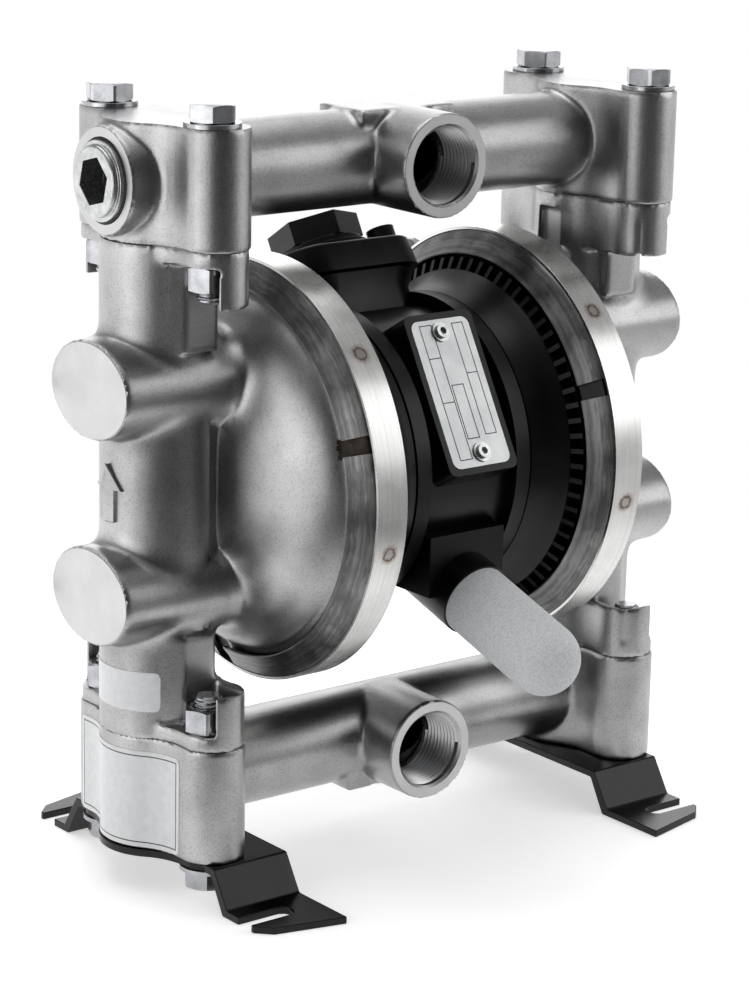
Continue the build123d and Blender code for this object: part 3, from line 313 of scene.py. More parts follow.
def cast(node, voxel_mm, passes, materials, cuts, fill, share, prisms=()):
    """A solid's copy with a casting's soft corners: remeshed fine and eased, then cut flat again at machined
    planes, given as (axis number, level in mm). Prisms grow into the casting; fill is the fillets' passes."""
    mesh = bpy.data.meshes.new("rough")
    form = copied(node)
    for prism in prisms:
        extra = bmesh.new()
        upright(extra, *prism)
        bmesh.ops.recalc_face_normals(extra, faces=extra.faces)
        spare = bpy.data.meshes.new("prism")
        extra.to_mesh(spare)
        extra.free()
        form.from_mesh(spare)
    form.to_mesh(mesh)
    form.free()
    rough = bpy.data.objects.new("rough", mesh)
    scene.collection.objects.link(rough)
    remesh = rough.modifiers.new("remesh", "REMESH")
    remesh.mode = "VOXEL"
    remesh.voxel_size = voxel_mm * MM
    relax = rough.modifiers.new("relax", "SMOOTH")
    relax.factor = 0.5
    relax.iterations = passes
    settled = rough.evaluated_get(bpy.context.evaluated_depsgraph_get())
    eased_mesh = bpy.data.meshes.new_from_object(settled)
    filled(eased_mesh, fill, share)
    form = bmesh.new()
    form.from_mesh(eased_mesh)
    bpy.data.objects.remove(rough)
    for axis, plane in cuts:
        for vertex in form.verts:
            if abs(vertex.co[axis] / MM - plane) < SNAP * voxel_mm:
                vertex.co[axis] = plane * MM
    made = settle(form, "cast_" + node, materials, angle=38.0)
    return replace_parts(made, node)


def lathed(outline, name, materials, place, turn, steps=96, scale=(1, 1)):
    """A closed outline of (along, radius) turned about Z, then turned and set in place, in millimetres."""
    form = bmesh.new()
    ring = [form.verts.new((r * MM, 0, z * MM)) for z, r in outline]
    bmesh.ops.spin(
        form,
        geom=[form.edges.new((ring[i - 1], ring[i])) for i in range(len(ring))],
        cent=(0, 0, 0),
        axis=(0, 0, 1),
        angle=math.tau,
        steps=steps,
        use_merge=True,
    )
    bmesh.ops.scale(form, vec=(scale[0], scale[1], 1), verts=form.verts)
    bmesh.ops.remove_doubles(form, verts=form.verts, dist=AXIS_WELD_MM * MM)
    bmesh.ops.dissolve_limit(form, angle_limit=math.radians(0.1), verts=form.verts, edges=form.edges)
    bmesh.ops.transform(form, matrix=Matrix.Translation(Vector(place) * MM) @ turn, verts=form.verts)
    return settle(form, name, materials)


def thread(name, material, root, crest, pitch, turns, place, turn):
    """A screw thread: one triangular tooth swept up a helix about Z, then turned and set in place."""
    form = bmesh.new()
    profile = ((root, 0), (crest, pitch * 0.42), (crest, pitch * 0.54), (root, pitch * 0.96))
    tooth = [form.verts.new((r * MM, 0, z * MM)) for r, z in profile]
    face = form.faces.new(tooth)
    bmesh.ops.spin(
        form,
        geom=[face] + list(face.edges) + tooth,
        cent=(0, 0, 0),
        axis=(0, 0, 1),
        dvec=(0, 0, pitch / THREAD_STEPS * MM),
        angle=math.tau * turns,
        steps=round(THREAD_STEPS * turns),
    )
    bmesh.ops.transform(form, matrix=Matrix.Translation(Vector(place) * MM) @ turn, verts=form.verts)
    return settle(form, name, material, angle=20.0, weld_mm=MERGE_MM)


# Glass bead leaves a soft even sheen, a little darker where scale stays in the hollows. Its marks are near
# 0.1 mm wide; the grain is drawn at 0.55 mm, coarse enough to show.
blasted_cast_stainless = grained(
    "blasted_cast_stainless", "#9c9c9c", "#bababa", (0.28, 0.39), 0.55, 0.05, cloud_mm=26.0, speck=0.66
)
# Lathe and mill cuts are brighter and throw sharper reflections than the blasted skin.
milled_stainless = grained("milled_stainless", "#b9b9ba", "#c4c4c5", (0.3, 0.38), 0.35, 0.006, 12.0)
# Pipe dope dried black in the threads; the same black paints shade on the plugs' socket floors.
dope_and_shade_black = grained("dope_and_shade_black", "#0c0c0d", "#1c1c1e", (0.5, 0.7), 0.7, 0.2, 3.0, metallic=0.0)
# Painted shade: the flange seen deep in the clamps' gaps lies in shadow, so it is coloured a dark brown-grey.
flange_gap_shade = grained("flange_gap_shade", "#2c2825", "#4a443f", (0.5, 0.65), 0.7, 0.06, 4.0, 0.6)
TOP_JOINT, TOP_FLAT, LOW_JOINT, LOW_FLAT = 219.5, 258.6, 53.9, 14.8
OUTLET_Z, INLET_Z = 239.2, 34.2
STUB_FACE_X, STUB_HALF_WIDTH, STUB_HALF_HEIGHT, STUB_RISE = 120.4, 22.6, 16.4, 34.65
PORT_FACE_Y, PORT_BOSS, PORT_BORE = 32.4, 17.7, 13.2
PLUG_FACE_X, PLUG_BOSS = 115.0, 17.6
FACE_LEFT = Matrix.Rotation(math.radians(-90), 4, "Y")
FACE_RIGHT = Matrix.Rotation(math.radians(90), 4, "Y")
FACE_FRONT = Matrix.Rotation(math.radians(90), 4, "X")
COLUMN_X, COLUMN_RADIUS, BOLT_Y = 92.8, 19.7, 29.3
BOSS_X, EAR_LOBE, EAR_BOSS, EAR_NECK = 91.3, 19.0, 10.8, 22.5
# The band clamps leave the flange bare, and painted in shade, in gaps that start and end at these angles
# above the front.
CLAMP_SIDE_X, FLANGE_SIDE_X, FLANGE_REACH = 66.0, 64.0, 60.5
CLAMP_TURNS = {"left": 0.0, "right": 5.0}
CLAMP_GAPS = ((15.3, 21.1), (130.2, 149.4), (258.6, 266.2))
# Flat walls stand between the nuts' pockets and the branches, and necks between the ears and the column.
WALL_X, WALL_Y, WALL_END_X, WALL_LOW, WALL_HIGH = 84.4, 21.4, 97.0, 184.2, 213.0
NECK_X, NECK_Y, NECK_LOW, NECK_HIGH = 84.2, 31.0, 201.0, 216.0
# Fillets on a cover fade in outboard of the clamp and fade out below the ears.
FADE_X, FADE_Z, FILLET_REACH_Z, CHAMBER_X = 3.0, 6.0, 62.0, 51.0
# Walls and necks start inside the column's wall and stay clear of the ball chamber.
ROOT_Y, WALL_ROOT, WALL_FOOT = 15.5, (103.0, 13.0), (105.1, 15.35)
ARROW_TIP_Z, ARROW_BARB_Z, ARROW_TAIL_Z, ARROW_HALF, ARROW_STEM = 145.8, 137.8, 126.8, 7.1, 3.9
ARROW_SUNK, ARROW_PROUD, ARROW_BREAK = 0.8, 1.2, 0.25
# Machined faces stand a little out of the cast skin and reach into it; their edges are broken.
STUB_PROUD, FACE_PROUD, FACE_DEEP, FACE_BREAK = 0.25, 0.2, 0.6, 0.1
PIPE_CHAMFER, PIPE_PITCH, PIPE_TURNS, PIPE_TOOTH, TOOTH_SUNK = 0.9, 1.81, 9.0, 0.95, 0.05


def soft_side(way):
    """Fillets grow on a cover's outer skin between its ears, clear of the clamp."""

    def share(spots, normals):
        outer = numpy.clip((way * spots[:, 0] - CLAMP_SIDE_X) / FADE_X, 0.0, 1.0)
        middle = numpy.clip((FILLET_REACH_Z - abs(spots[:, 2] - AXLE_Z)) / FADE_Z, 0.0, 1.0)
        facing_out = (spots - numpy.array((way * CHAMBER_X, 0.0, AXLE_Z))) * normals
        return outer * middle * (facing_out.sum(axis=1) > 0.0)

    return share


def everywhere(spots, normals):
    """Fillets grow in every crease of a manifold."""
    return 1.0


def ear_neck(steps=10):
    """The inboard outline of an ear from its bolt boss to the column: an arc that touches both."""
    lobe, boss, apart = Vector((COLUMN_X, 0)), Vector((BOSS_X, BOLT_Y)), EAR_NECK
    reach, other = EAR_LOBE + apart, EAR_BOSS + apart
    line = boss - lobe
    along = (line.length_squared + reach**2 - other**2) / (2 * line.length)
    rise = math.sqrt(reach**2 - along**2)
    unit = line.normalized()
    middle = lobe + unit * along + Vector((-unit.y, unit.x)) * rise
    start, end = (boss - middle), (lobe - middle)
    first, last = math.atan2(start.y, start.x), math.atan2(end.y, end.x)
    angles = [first + (last - first) * i / steps for i in range(steps + 1)]
    arc = [(middle.x + apart * math.cos(a), middle.y + apart * math.sin(a)) for a in angles]
    inboard = BOSS_X - EAR_BOSS
    return [(inboard, BOLT_Y + 1.0), (inboard, BOLT_Y)] + arc + [(COLUMN_X - EAR_LOBE, 4.0)]


def machined_ring(boss, bore):
    """Outline of a ring turned on a boss: a broken outer edge, the flat face and the thread's chamfer."""
    inner = [(0, PORT_BORE + PIPE_CHAMFER), (-PIPE_CHAMFER, bore), (-PIPE_CHAMFER - FACE_BREAK, bore)]
    return [(-FACE_DEEP, boss), (-FACE_BREAK, boss), (0, boss - FACE_BREAK)] + inner


for side, way in (("left", -1), ("right", 1)):
    cuts = ((2, TOP_JOINT), (2, LOW_JOINT), (0, way * (STUB_FACE_X - STUB_PROUD)))
    wall = [(WALL_X, ROOT_Y), (WALL_X, WALL_Y), (WALL_END_X, WALL_Y), WALL_FOOT, WALL_ROOT]
    neck = [(NECK_X, ROOT_Y), (NECK_X, NECK_Y)] + ear_neck()
    prisms = []
    for half in (-1, 1):
        for outline, low, high in ((wall, WALL_LOW, WALL_HIGH), (neck, NECK_LOW, NECK_HIGH)):
            corners = [(way * x, half * y) for x, y in outline]
            prisms.append((corners, low, high))
            prisms.append((corners, 2 * AXLE_Z - high, 2 * AXLE_Z - low))
    skins = (blasted_cast_stainless, flange_gap_shade)
    cover = cast("fluid_cover_" + side, 0.95, 3, skins, cuts, 60, soft_side(way), prisms)
    # Faces of the flange in the clamps' gaps take the painted shade.
    for face in cover.data.polygons:
        rise = face.center.z - AXLE_Z * MM
        reach = math.hypot(face.center.y, rise) / MM
        angle = math.degrees(math.atan2(rise, -face.center.y)) - CLAMP_TURNS[side]
        bare = any(start < angle % 360.0 < end for start, end in CLAMP_GAPS)
        if bare and reach > FLANGE_REACH and abs(face.center.x) < FLANGE_SIDE_X * MM:
            face.material_index = 1
    # A plain raised arrow on the column's outboard side shows which way the liquid rises.
    form = bmesh.new()
    for half in (-1, 1):
        shape = [(0, ARROW_TIP_Z), (half * ARROW_HALF, ARROW_BARB_Z), (half * ARROW_STEM, ARROW_BARB_Z)]
        shape += [(half * ARROW_STEM, ARROW_TAIL_Z), (0, ARROW_TAIL_Z)]
        rings = []
        for radius in (COLUMN_RADIUS - ARROW_SUNK, COLUMN_RADIUS + ARROW_PROUD):
            skin = [(way * (COLUMN_X + math.sqrt(radius**2 - y**2)), y, z) for y, z in shape]
            rings.append([form.verts.new((x * MM, y * MM, z * MM)) for x, y, z in skin])
        form.faces.new(rings[0])
        form.faces.new(rings[1])
        for i in range(1, len(shape)):
            form.faces.new((rings[0][i - 1], rings[0][i], rings[1][i], rings[1][i - 1]))
    bmesh.ops.remove_doubles(form, verts=form.verts, dist=0.01 * MM)
    ridge = [edge for edge in form.edges if len(edge.link_faces) == 2 and edge.calc_face_angle(0.0) > 0.6]
    bmesh.ops.bevel(
        form, geom=ridge, offset=ARROW_BREAK * MM, segments=2, profile=0.5, affect="EDGES", material=-1
    )
    settle(form, "flow_arrow_" + side, blasted_cast_stainless, angle=50.0)
    # Each stub's end is milled flat, with a small break at its edge.
    rim = STUB_HALF_HEIGHT - 0.7
    for tier, rise in (("upper", STUB_RISE), ("lower", -STUB_RISE)):
        disc = lathed(
            ((-FACE_DEEP, ON_AXIS), (-FACE_DEEP, rim), (-0.12, rim), (0, rim - 0.15), (0, ON_AXIS)),
            f"stub_face_{side}_{tier}",
            milled_stainless,
            (way * STUB_FACE_X, 0, AXLE_Z + rise),
            FACE_LEFT if way < 0 else FACE_RIGHT,
            scale=(1, (STUB_HALF_WIDTH - 0.7) / rim),
        )
for name, level, way in (("outlet", OUTLET_Z, -1), ("inlet", INLET_Z, 1)):
    joint, flat = (TOP_JOINT, TOP_FLAT) if level > AXLE_Z else (LOW_JOINT, LOW_FLAT)
    cuts = ((2, joint), (2, flat), (1, FACE_PROUD - PORT_FACE_Y), (0, way * (PLUG_FACE_X - FACE_PROUD)))
    castings = cast(name + "_manifold", 0.85, 2, blasted_cast_stainless, cuts, 5, everywhere)
    # The port's face is turned flat round a chamfered pipe thread.
    mouth = machined_ring(PORT_BOSS - 0.5, PORT_BORE)
    face = lathed(mouth, name + "_port_face", milled_stainless, (0, -PORT_FACE_Y, level), FACE_FRONT)
    cut = thread(
        name + "_port_thread",
        milled_stainless,
        PORT_BORE + TOOTH_SUNK,
        PORT_BORE - PIPE_TOOTH,
        -PIPE_PITCH,
        PIPE_TURNS,
        (0, 1.0 - PORT_FACE_Y, level),
        FACE_FRONT,
    )
    # The plugged end is faced the same way; dope squeezed out of the thread lies round the plug.
    place, end = (way * PLUG_FACE_X, 0, level), FACE_LEFT if way < 0 else FACE_RIGHT
    ring = machined_ring(PLUG_BOSS - 0.4, PORT_BORE + 0.03)
    lathed(ring, name + "_end_face", milled_stainless, place, end)
    bead = [(-0.8, -0.1), (0.1, -0.1), (0.35, 0.05), (0.05, 0.55), (-0.8, 0.2)]
    dope = [(along, PORT_BORE + beyond) for along, beyond in bead]
    lathed(dope, name + "_plug_dope", dope_and_shade_black, place, end)


# Band clamps
# Three rolled V segments are spot welded under a polished stainless strap. The strap's ends are looped
# round the barrels of a T-bolt, which draws the two cover flanges together over the diaphragm's bead.
CLAMP_X = 51.2
STRAP_OUTER, STRAP_INNER, STRAP_HALF = 72.45, 71.45, 6.0
LEG_EDGE, LEG_HALF, LEG_SHEET = 63.4, 11.7, 1.6
SEGMENT_STARTS, SEGMENT_ARC, SEGMENT_STEPS = (-94.2, 20.6, 149.0), 110.0, 110
WELD_ANGLES = {
    "left": (-65.5, -11.7, 42.1, 108.0, 176.5, 232.0),
    "right": (-63.0, -9.6, 45.0, 111.0, 179.5, 235.0),
}
# A weld's stain ends this far out, and its edge wanders; its dimple is this much deeper than the streaks. The
# search for the nearest weld starts from a distance beyond any stain.
STAIN_MM, WANDER_MM, STAIN_WAVE, DIMPLE, FAR_MM = 4.0, 1.3, 1.6, 12.0, 50.0
# Strip metal is mottled in patches of this size.
MOTTLE_MM = 9.0
# A copied solid's facets flatter than the first angle are joined, and edges sharper than the second broken.
FLAT_ANGLE, EDGE_ANGLE = 0.6, 40.0


def turned(outline, name, material, start, arc, steps):
    """A closed outline of (station, radius) turned about the pump's axle, from an angle above the front."""
    form = bmesh.new()
    first = math.radians(180.0 - start)
    along, up = math.cos(first), math.sin(first)
    ring = [form.verts.new((x * MM, r * MM * along, (AXLE_Z + r * up) * MM)) for x, r in outline]
    cap = form.faces.new(ring)
    bmesh.ops.spin(
        form,
        geom=[cap] + list(cap.edges) + ring,
        cent=(0, 0, AXLE_Z * MM),
        axis=(-1, 0, 0),
        angle=math.radians(arc),
        steps=steps,
    )
    return settle(form, name, material)


def dressed(node, material):
    """Gives a solid that keeps its own mesh its material."""
    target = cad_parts[node]
    target.data.materials.clear()
    target.data.materials.append(material)


def eased(node, materials, width_mm):
    """A merged copy of a solid with its sharp edges broken by a small bevel; it stands for the solid."""
    form = copied(node)
    flat = math.radians(FLAT_ANGLE)
    bmesh.ops.dissolve_limit(form, angle_limit=flat, verts=form.verts, edges=form.edges)
    made = settle(form, "eased_" + node, materials, angle=30.0)
    brk = made.modifiers.new("edges", "BEVEL")
    brk.width = width_mm * MM
    brk.segments = 2
    brk.limit_method = "ANGLE"
    brk.angle_limit = math.radians(EDGE_ANGLE)
    brk.harden_normals = True
    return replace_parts(made, node)


def rolled_metal(name, dark, light, rough, streak_mm, depth_mm, station=0.0, welds=(), drift_mm=0.0):
    """Strip metal whose streaks run round the axle, where the rolls and the polishing belt dragged; each
    spot weld, given by its angle above the front, is a grey dimple in a brown heat ring."""
    made, tree = blank(name)
    here = add(tree, "ShaderNodeSeparateXYZ", {0: spot(tree)})
    high = add(tree, "ShaderNodeMath", {0: here.outputs["Z"], 1: AXLE_Z}, operation="SUBTRACT")
    away = add(tree, "ShaderNodeCombineXYZ", {"Y": here.outputs["Y"], "Z": high})
    radius = add(tree, "ShaderNodeVectorMath", {0: away}, operation="LENGTH").outputs["Value"]
    along = add(tree, "ShaderNodeCombineXYZ", {"X": here.outputs["X"], "Y": radius})
    cloud = add(tree, "ShaderNodeTexNoise", {"Vector": spot(tree), "Scale": 1 / MOTTLE_MM, "Detail": 5.0})
    drift = add(tree, "ShaderNodeVectorMath", {0: cloud.outputs["Color"], 3: drift_mm}, operation="SCALE")
    lines = add(tree, "ShaderNodeVectorMath", {0: along, 1: drift}, operation="ADD")
    dragged = {"Vector": lines, "Scale": 1 / streak_mm, "Detail": 4.0}
    streak = add(tree, "ShaderNodeTexNoise", dragged).outputs["Fac"]
    mottle = add(tree, "ShaderNodeMath", {0: streak, 1: cloud.outputs["Fac"]}, operation="MULTIPLY")
    colour = add(tree, "ShaderNodeValToRGB", {"Fac": mottle}, ((0.15, dark), (0.38, light)))
    worn = ((0.3, rough[0]), (0.7, rough[1]))
    gloss = add(tree, "ShaderNodeValToRGB", {"Fac": cloud.outputs["Fac"]}, worn)
    dimple = 0.0
    if welds:
        nearest = FAR_MM
        for angle in map(math.radians, welds):
            seat = (station, -STRAP_OUTER * math.cos(angle), AXLE_Z + STRAP_OUTER * math.sin(angle))
            gap = add(tree, "ShaderNodeVectorMath", {0: spot(tree), 1: seat}, operation="DISTANCE")
            pair = {0: gap.outputs["Value"], 1: nearest}
            nearest = add(tree, "ShaderNodeMath", pair, operation="MINIMUM")
        rough_edge = {"Vector": spot(tree), "Scale": 1 / WANDER_MM, "Detail": 3.0}
        wander = add(tree, "ShaderNodeTexNoise", rough_edge).outputs["Fac"]
        wander = add(tree, "ShaderNodeMath", {0: wander, 1: 0.5}, operation="SUBTRACT")
        wave = {0: wander, 1: STAIN_WAVE, 2: nearest}
        edge = add(tree, "ShaderNodeMath", wave, operation="MULTIPLY_ADD")
        out = add(tree, "ShaderNodeMath", {0: edge, 1: STAIN_MM}, operation="DIVIDE")
        ring = ((0.0, 0.55), (0.4, 0.6), (0.5, 0.95), (0.62, 0.75), (1.0, 0.0))
        stain = add(tree, "ShaderNodeValToRGB", {"Fac": out}, ring)
        heat = ((0.3, "#8b8079"), (0.5, "#4e3a33"), (0.75, "#a38f80"))
        brown = add(tree, "ShaderNodeValToRGB", {"Fac": out}, heat)
        colour = add(tree, "ShaderNodeMix", {0: stain, 6: colour, 7: brown}, data_type="RGBA").outputs[2]
        out = add(tree, "ShaderNodeMath", {0: nearest, 1: STAIN_MM}, operation="DIVIDE")
        dimple = add(tree, "ShaderNodeValToRGB", {"Fac": out}, ((0.35, 0.0), (0.52, 1.0)))
    relief = add(tree, "ShaderNodeMath", {0: dimple, 1: DIMPLE, 2: streak}, operation="MULTIPLY_ADD")
    surface(tree, relief, depth_mm, {"Base Color": colour, "Roughness": gloss, "Metallic": 1.0})
    return made


# Belt polish leaves broad clean reflections with faint lines round the band.
straps = {}
for side, way in (("left", -1), ("right", 1)):
    welds = WELD_ANGLES[side]
    straps[side] = rolled_metal(
        "belt_polished_strap_" + side, "#cfcfcd", "#e0e0de", (0.24, 0.32), 0.6, 0.002, way * CLAMP_X, welds
    )
# Mill scale and roll marks make the pressed segments darker and streakier than the strap.
rolled_segment = rolled_metal("rolled_segment", "#5f5e5f", "#8e8d8c", (0.28, 0.42), 1.1, 0.006, drift_mm=2.2)
# Half of a segment's section: a narrow crown under the strap, a sloping leg and its turned-in edge. The leg's
# inner face lies one sheet inside its outer face.
drop, run = STRAP_INNER - LEG_EDGE, LEG_HALF - STRAP_HALF
shift = LEG_SHEET * math.hypot(drop, run) / drop
inner_half = STRAP_HALF - shift + run / drop * LEG_SHEET
leg = [
    (STRAP_HALF - 0.5, STRAP_INNER),
    (STRAP_HALF + run * 0.12, STRAP_INNER - drop * 0.1),
    (STRAP_HALF + run * 0.5, STRAP_INNER - drop * 0.52),
    (LEG_HALF - 0.5, LEG_EDGE + 1.0),
    (LEG_HALF, LEG_EDGE + 0.45),
    (LEG_HALF - 0.15, LEG_EDGE),
    (LEG_HALF - shift + 0.1, LEG_EDGE),
    (inner_half, STRAP_INNER - LEG_SHEET),
]
for side, way in (("left", -1), ("right", 1)):
    eased("clamp_strap_" + side, straps[side], 0.15)
    section = [(way * CLAMP_X + x, r) for x, r in leg] + [(way * CLAMP_X - x, r) for x, r in reversed(leg)]
    for number, start in enumerate(SEGMENT_STARTS):
        start += CLAMP_TURNS[side]
        name = f"v_segment_{side}_{number}"
        segment = turned(section, name, rolled_segment, start, SEGMENT_ARC, SEGMENT_STEPS)
        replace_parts(segment, "clamp_segments_" + side)


# Clamp latches
# Each band's T-bolt, barrels and nut are bright zinc plated steel, turned and cold headed.
# Zinc plate is bright and slightly bluish, with soft short reflections.
bright_zinc = grained("bright_zinc_plate", "#97989b", "#b9babd", (0.16, 0.26), 0.8, 0.004, 5.0)
for node in ("clamp_latch_left", "clamp_latch_right", "clamp_nuts"):
    dressed(node, bright_zinc)


# Centre section
# The centre housing, both air covers, the valve cover and the air inlet fitting are injection moulded in
# glass-filled black polypropylene. The skin is finely grained, and edges from the mould catch the light.
# Handling leaves slightly paler clouds of this size.
HANDLED_MM = 18.0


def moulded(name, colour, worn, rough, grain_mm, depth_mm):
    """A moulded or coated skin with a fine even grain and paler clouds where it was handled."""
    made, tree = blank(name)
    here = spot(tree)
    grain = add(tree, "ShaderNodeTexNoise", {"Vector": here, "Scale": 1 / grain_mm, "Detail": 2.0})
    cloud = add(tree, "ShaderNodeTexNoise", {"Vector": here, "Scale": 1 / HANDLED_MM, "Detail": 5.0})
    tone = add(tree, "ShaderNodeValToRGB", {"Fac": cloud.outputs["Fac"]}, ((0.42, colour), (0.75, worn)))
    spread = ((0.3, rough[0]), (0.7, rough[1]))
    gloss = add(tree, "ShaderNodeValToRGB", {"Fac": cloud.outputs["Fac"]}, spread)
    skin = {"Base Color": tone, "Roughness": gloss, "Specular IOR Level": 0.3}
    surface(tree, grain.outputs["Fac"], depth_mm, skin)
    return made


# Black with a satin sheen; the glass filling leaves a very fine tooth, drawn coarser than it is.
polypropylene = moulded("moulded_black_polypropylene", "#040405", "#0b0b0c", (0.3, 0.42), 0.4, 0.012)
for node in ("centre_housing", "valve_cover", "air_inlet_fitting"):
    eased(node, polypropylene, 0.5)
for node in ("air_cover_left", "air_cover_right"):
    eased(node, polypropylene, 0.2)


# Name plate
# Satin aluminium sheet with ruled boxes left empty, held by two small flanged socket screws.
plate_metal = grained("satin_plate", "#aeb0b1", "#c6c8c8", (0.32, 0.42), 0.5, 0.004)
dressed("name_plate", plate_metal)
# Stamped rules filled with grey paint.
plate_ink = moulded("grey_rule_paint", "#333538", "#434548", (0.5, 0.6), 0.5, 0.004)
PLATE_FACE, PLATE_TOP, PLATE_LEFT, PLATE_TILT, RULE, RULE_DEEP = 51.3, 28.4, -12.3, 30.0, 0.34, 0.04
# Each frame's left, right, upper and lower edge from the plate's top left corner, and its cross rules.
PLATE_FRAMES = (
    (3.3, 8.7, 1.6, 49.6, (13.3, 29.0)),
    (9.2, 14.4, 23.3, 42.7, ()),
    (17.1, 22.0, 1.9, 42.0, (19.8,)),
)
form = bmesh.new()
for left, right, upper, lower, crosses in PLATE_FRAMES:
    lines = [(left, left + RULE, upper, lower), (right - RULE, right, upper, lower)]
    lines += [(left, right, down, down + RULE) for down in (upper, lower - RULE) + crosses]
    for start, end, high, low in lines:
        cube = bmesh.ops.create_cube(form, size=1.0)["verts"]
        bmesh.ops.scale(form, vec=((end - start) * MM, RULE_DEEP * MM, (low - high) * MM), verts=cube)
        middle = Vector((PLATE_LEFT + (start + end) / 2, -PLATE_FACE, PLATE_TOP - (high + low) / 2))
        bmesh.ops.translate(form, vec=middle * MM, verts=cube)
pad_turn = Matrix.Translation((0, 0, AXLE_Z * MM)) @ Matrix.Rotation(math.radians(-PLATE_TILT), 4, "X")
bmesh.ops.transform(form, matrix=pad_turn, verts=form.verts)
settle(form, "name_plate_rules", plate_ink)
# Cold headed stainless screws, brighter where the die polished them.
screw_steel = grained("screw_stainless", "#a4a5a6", "#cfd0d0", (0.22, 0.34), 0.6, 0.006, 3.0)
dressed("name_plate_screws", screw_steel)


# Muffler
# A sintered polyethylene shell: fused white beads with open pores between them. The beads are drawn coarser
# than the real ones, so that they show.
BEAD_MM, PORE_MM, PORE_DEEP = 0.75, 1.6, 0.05
sintered, tree = blank("sintered_polyethylene")
here = spot(tree)
beads = add(tree, "ShaderNodeTexVoronoi", {"Vector": here, "Scale": 1 / BEAD_MM}).outputs["Distance"]
pores = add(tree, "ShaderNodeTexNoise", {"Vector": here, "Scale": 1 / PORE_MM, "Detail": 3.0})
shade = add(tree, "ShaderNodeValToRGB", {"Fac": beads}, ((0.1, "#e6e8ea"), (0.75, "#cfd2d5")))
height = add(tree, "ShaderNodeMath", {0: beads, 1: pores.outputs["Fac"]}, operation="ADD")
surface(tree, height, PORE_DEEP, {"Base Color": shade, "Roughness": 0.85}, strength=0.6, invert=True)
dressed("muffler", sintered)


# Feet
# Bent steel sheet with a semi-gloss black powder coat, whose skin has a slight orange peel.
powder_coat = moulded("black_powder_coat", "#050506", "#0c0d0e", (0.17, 0.25), 1.6, 0.02)
for node in ("foot_left", "foot_right"):
    eased(node, powder_coat, 0.4)


# Manifold bolts
# Hexagon head bolts, plain washers and nuts, zinc plated. The bolts' threads show beyond the nuts.
BOLT_RADIUS, THREAD_ROOT, THREAD_PITCH, THREAD_LONG, THREAD_TURNS = 4.76, 4.15, 1.5875, 14.0, 5.0
BOLT_PLACES = [(x, y) for x in (-COLUMN_X, COLUMN_X) for y in (-BOLT_Y, BOLT_Y)]
HEX_HALF, HEX_BREAK, HEX_SLOPE, HEX_STEPS, BORE_BREAK = 7.145, 6.95, 0.42, 72, 0.5
FRONT_TURN, REAR_TURN, NUT_TURN = 54.0, 7.0, -8.0
SOCKET_REACH = 7.6


def levels(node):
    """The lowest and highest level of a solid, in millimetres."""
    heights = [vertex.co.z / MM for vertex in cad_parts[node].data.vertices]
    return min(heights), max(heights)


def hexagon(form, x, y, low, high, turn, bore=0.0):
    """Adds a hexagon whose corners are turned off at both ends, which leaves an arc on each flat."""
    rings = []
    for i in range(HEX_STEPS):
        angle = i * 360.0 / HEX_STEPS
        reach = HEX_HALF / math.cos(math.radians((angle - turn) % 60.0 - 30.0))
        drop = max(0.0, reach - HEX_BREAK) * HEX_SLOPE
        profile = [(HEX_BREAK, low), (reach, low + drop), (reach, high - drop), (HEX_BREAK, high)]
        if bore:
            wide = bore + BORE_BREAK
            profile = [(bore, low + BORE_BREAK), (wide, low)] + profile
            profile += [(wide, high), (bore, high - BORE_BREAK)]
        along, aside = math.cos(math.radians(angle)), math.sin(math.radians(angle))
        ring = [((x + r * along) * MM, (y + r * aside) * MM, z * MM) for r, z in profile]
        rings.append([form.verts.new(corner) for corner in ring])
    points = len(rings[0])
    for i in range(HEX_STEPS):
        for j in range(points - (0 if bore else 1)):
            k = (j + 1) % points
            form.faces.new((rings[i - 1][j], rings[i][j], rings[i][k], rings[i - 1][k]))
    if not bore:
        form.faces.new([ring[0] for ring in rings])
        form.faces.new([ring[-1] for ring in rings])


for tier in ("top", "bottom"):
    eased(tier + "_washers", bright_zinc, 0.2)
    nut_low, nut_high = levels(tier + "_nuts")
    bolt_low, bolt_high = levels(tier + "_bolts")
    seats = levels(tier + "_washers")
    low, high = (seats[1], bolt_high) if tier == "top" else (bolt_low, seats[0])
    nuts, bolts = bmesh.new(), bmesh.new()
    for x, y in BOLT_PLACES:
        hexagon(nuts, x, y, nut_low, nut_high, NUT_TURN, BOLT_RADIUS)
        hexagon(bolts, x, y, low, high, FRONT_TURN if y < 0 else REAR_TURN)
    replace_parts(settle(nuts, tier + "_hex_nuts", bright_zinc), tier + "_nuts")
    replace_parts(settle(bolts, tier + "_hex_heads", bright_zinc), tier + "_bolts")
    # Each shank starts at its threaded end and runs a little way into its head.
    end, seat, way = (bolt_low, seats[1], 1) if tier == "top" else (bolt_high, seats[0], -1)
    turn = Matrix.Identity(4) if way > 0 else Matrix.Rotation(math.pi, 4, "X")
    long, shank = abs(seat - end) + 1.0, BOLT_RADIUS - 0.01
    outline = [(0, ON_AXIS), (0, THREAD_ROOT - 0.6), (0.6, THREAD_ROOT), (THREAD_LONG, THREAD_ROOT)]
    outline += [(THREAD_LONG, shank), (long, shank), (long, ON_AXIS)]
    root, crest = THREAD_ROOT - 0.05, BOLT_RADIUS - 0.02
    for number, (x, y) in enumerate(BOLT_PLACES):
        made = lathed(outline, f"{tier}_shank_{number}", bright_zinc, (x, y, end), turn, 48)
        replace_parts(made, tier + "_bolts")
        name, place = f"{tier}_bolt_thread_{number}", (x, y, end + way * 0.3)
        cut = thread(name, bright_zinc, root, crest, THREAD_PITCH, THREAD_TURNS, place, turn)
        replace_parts(cut, tier + "_bolts")
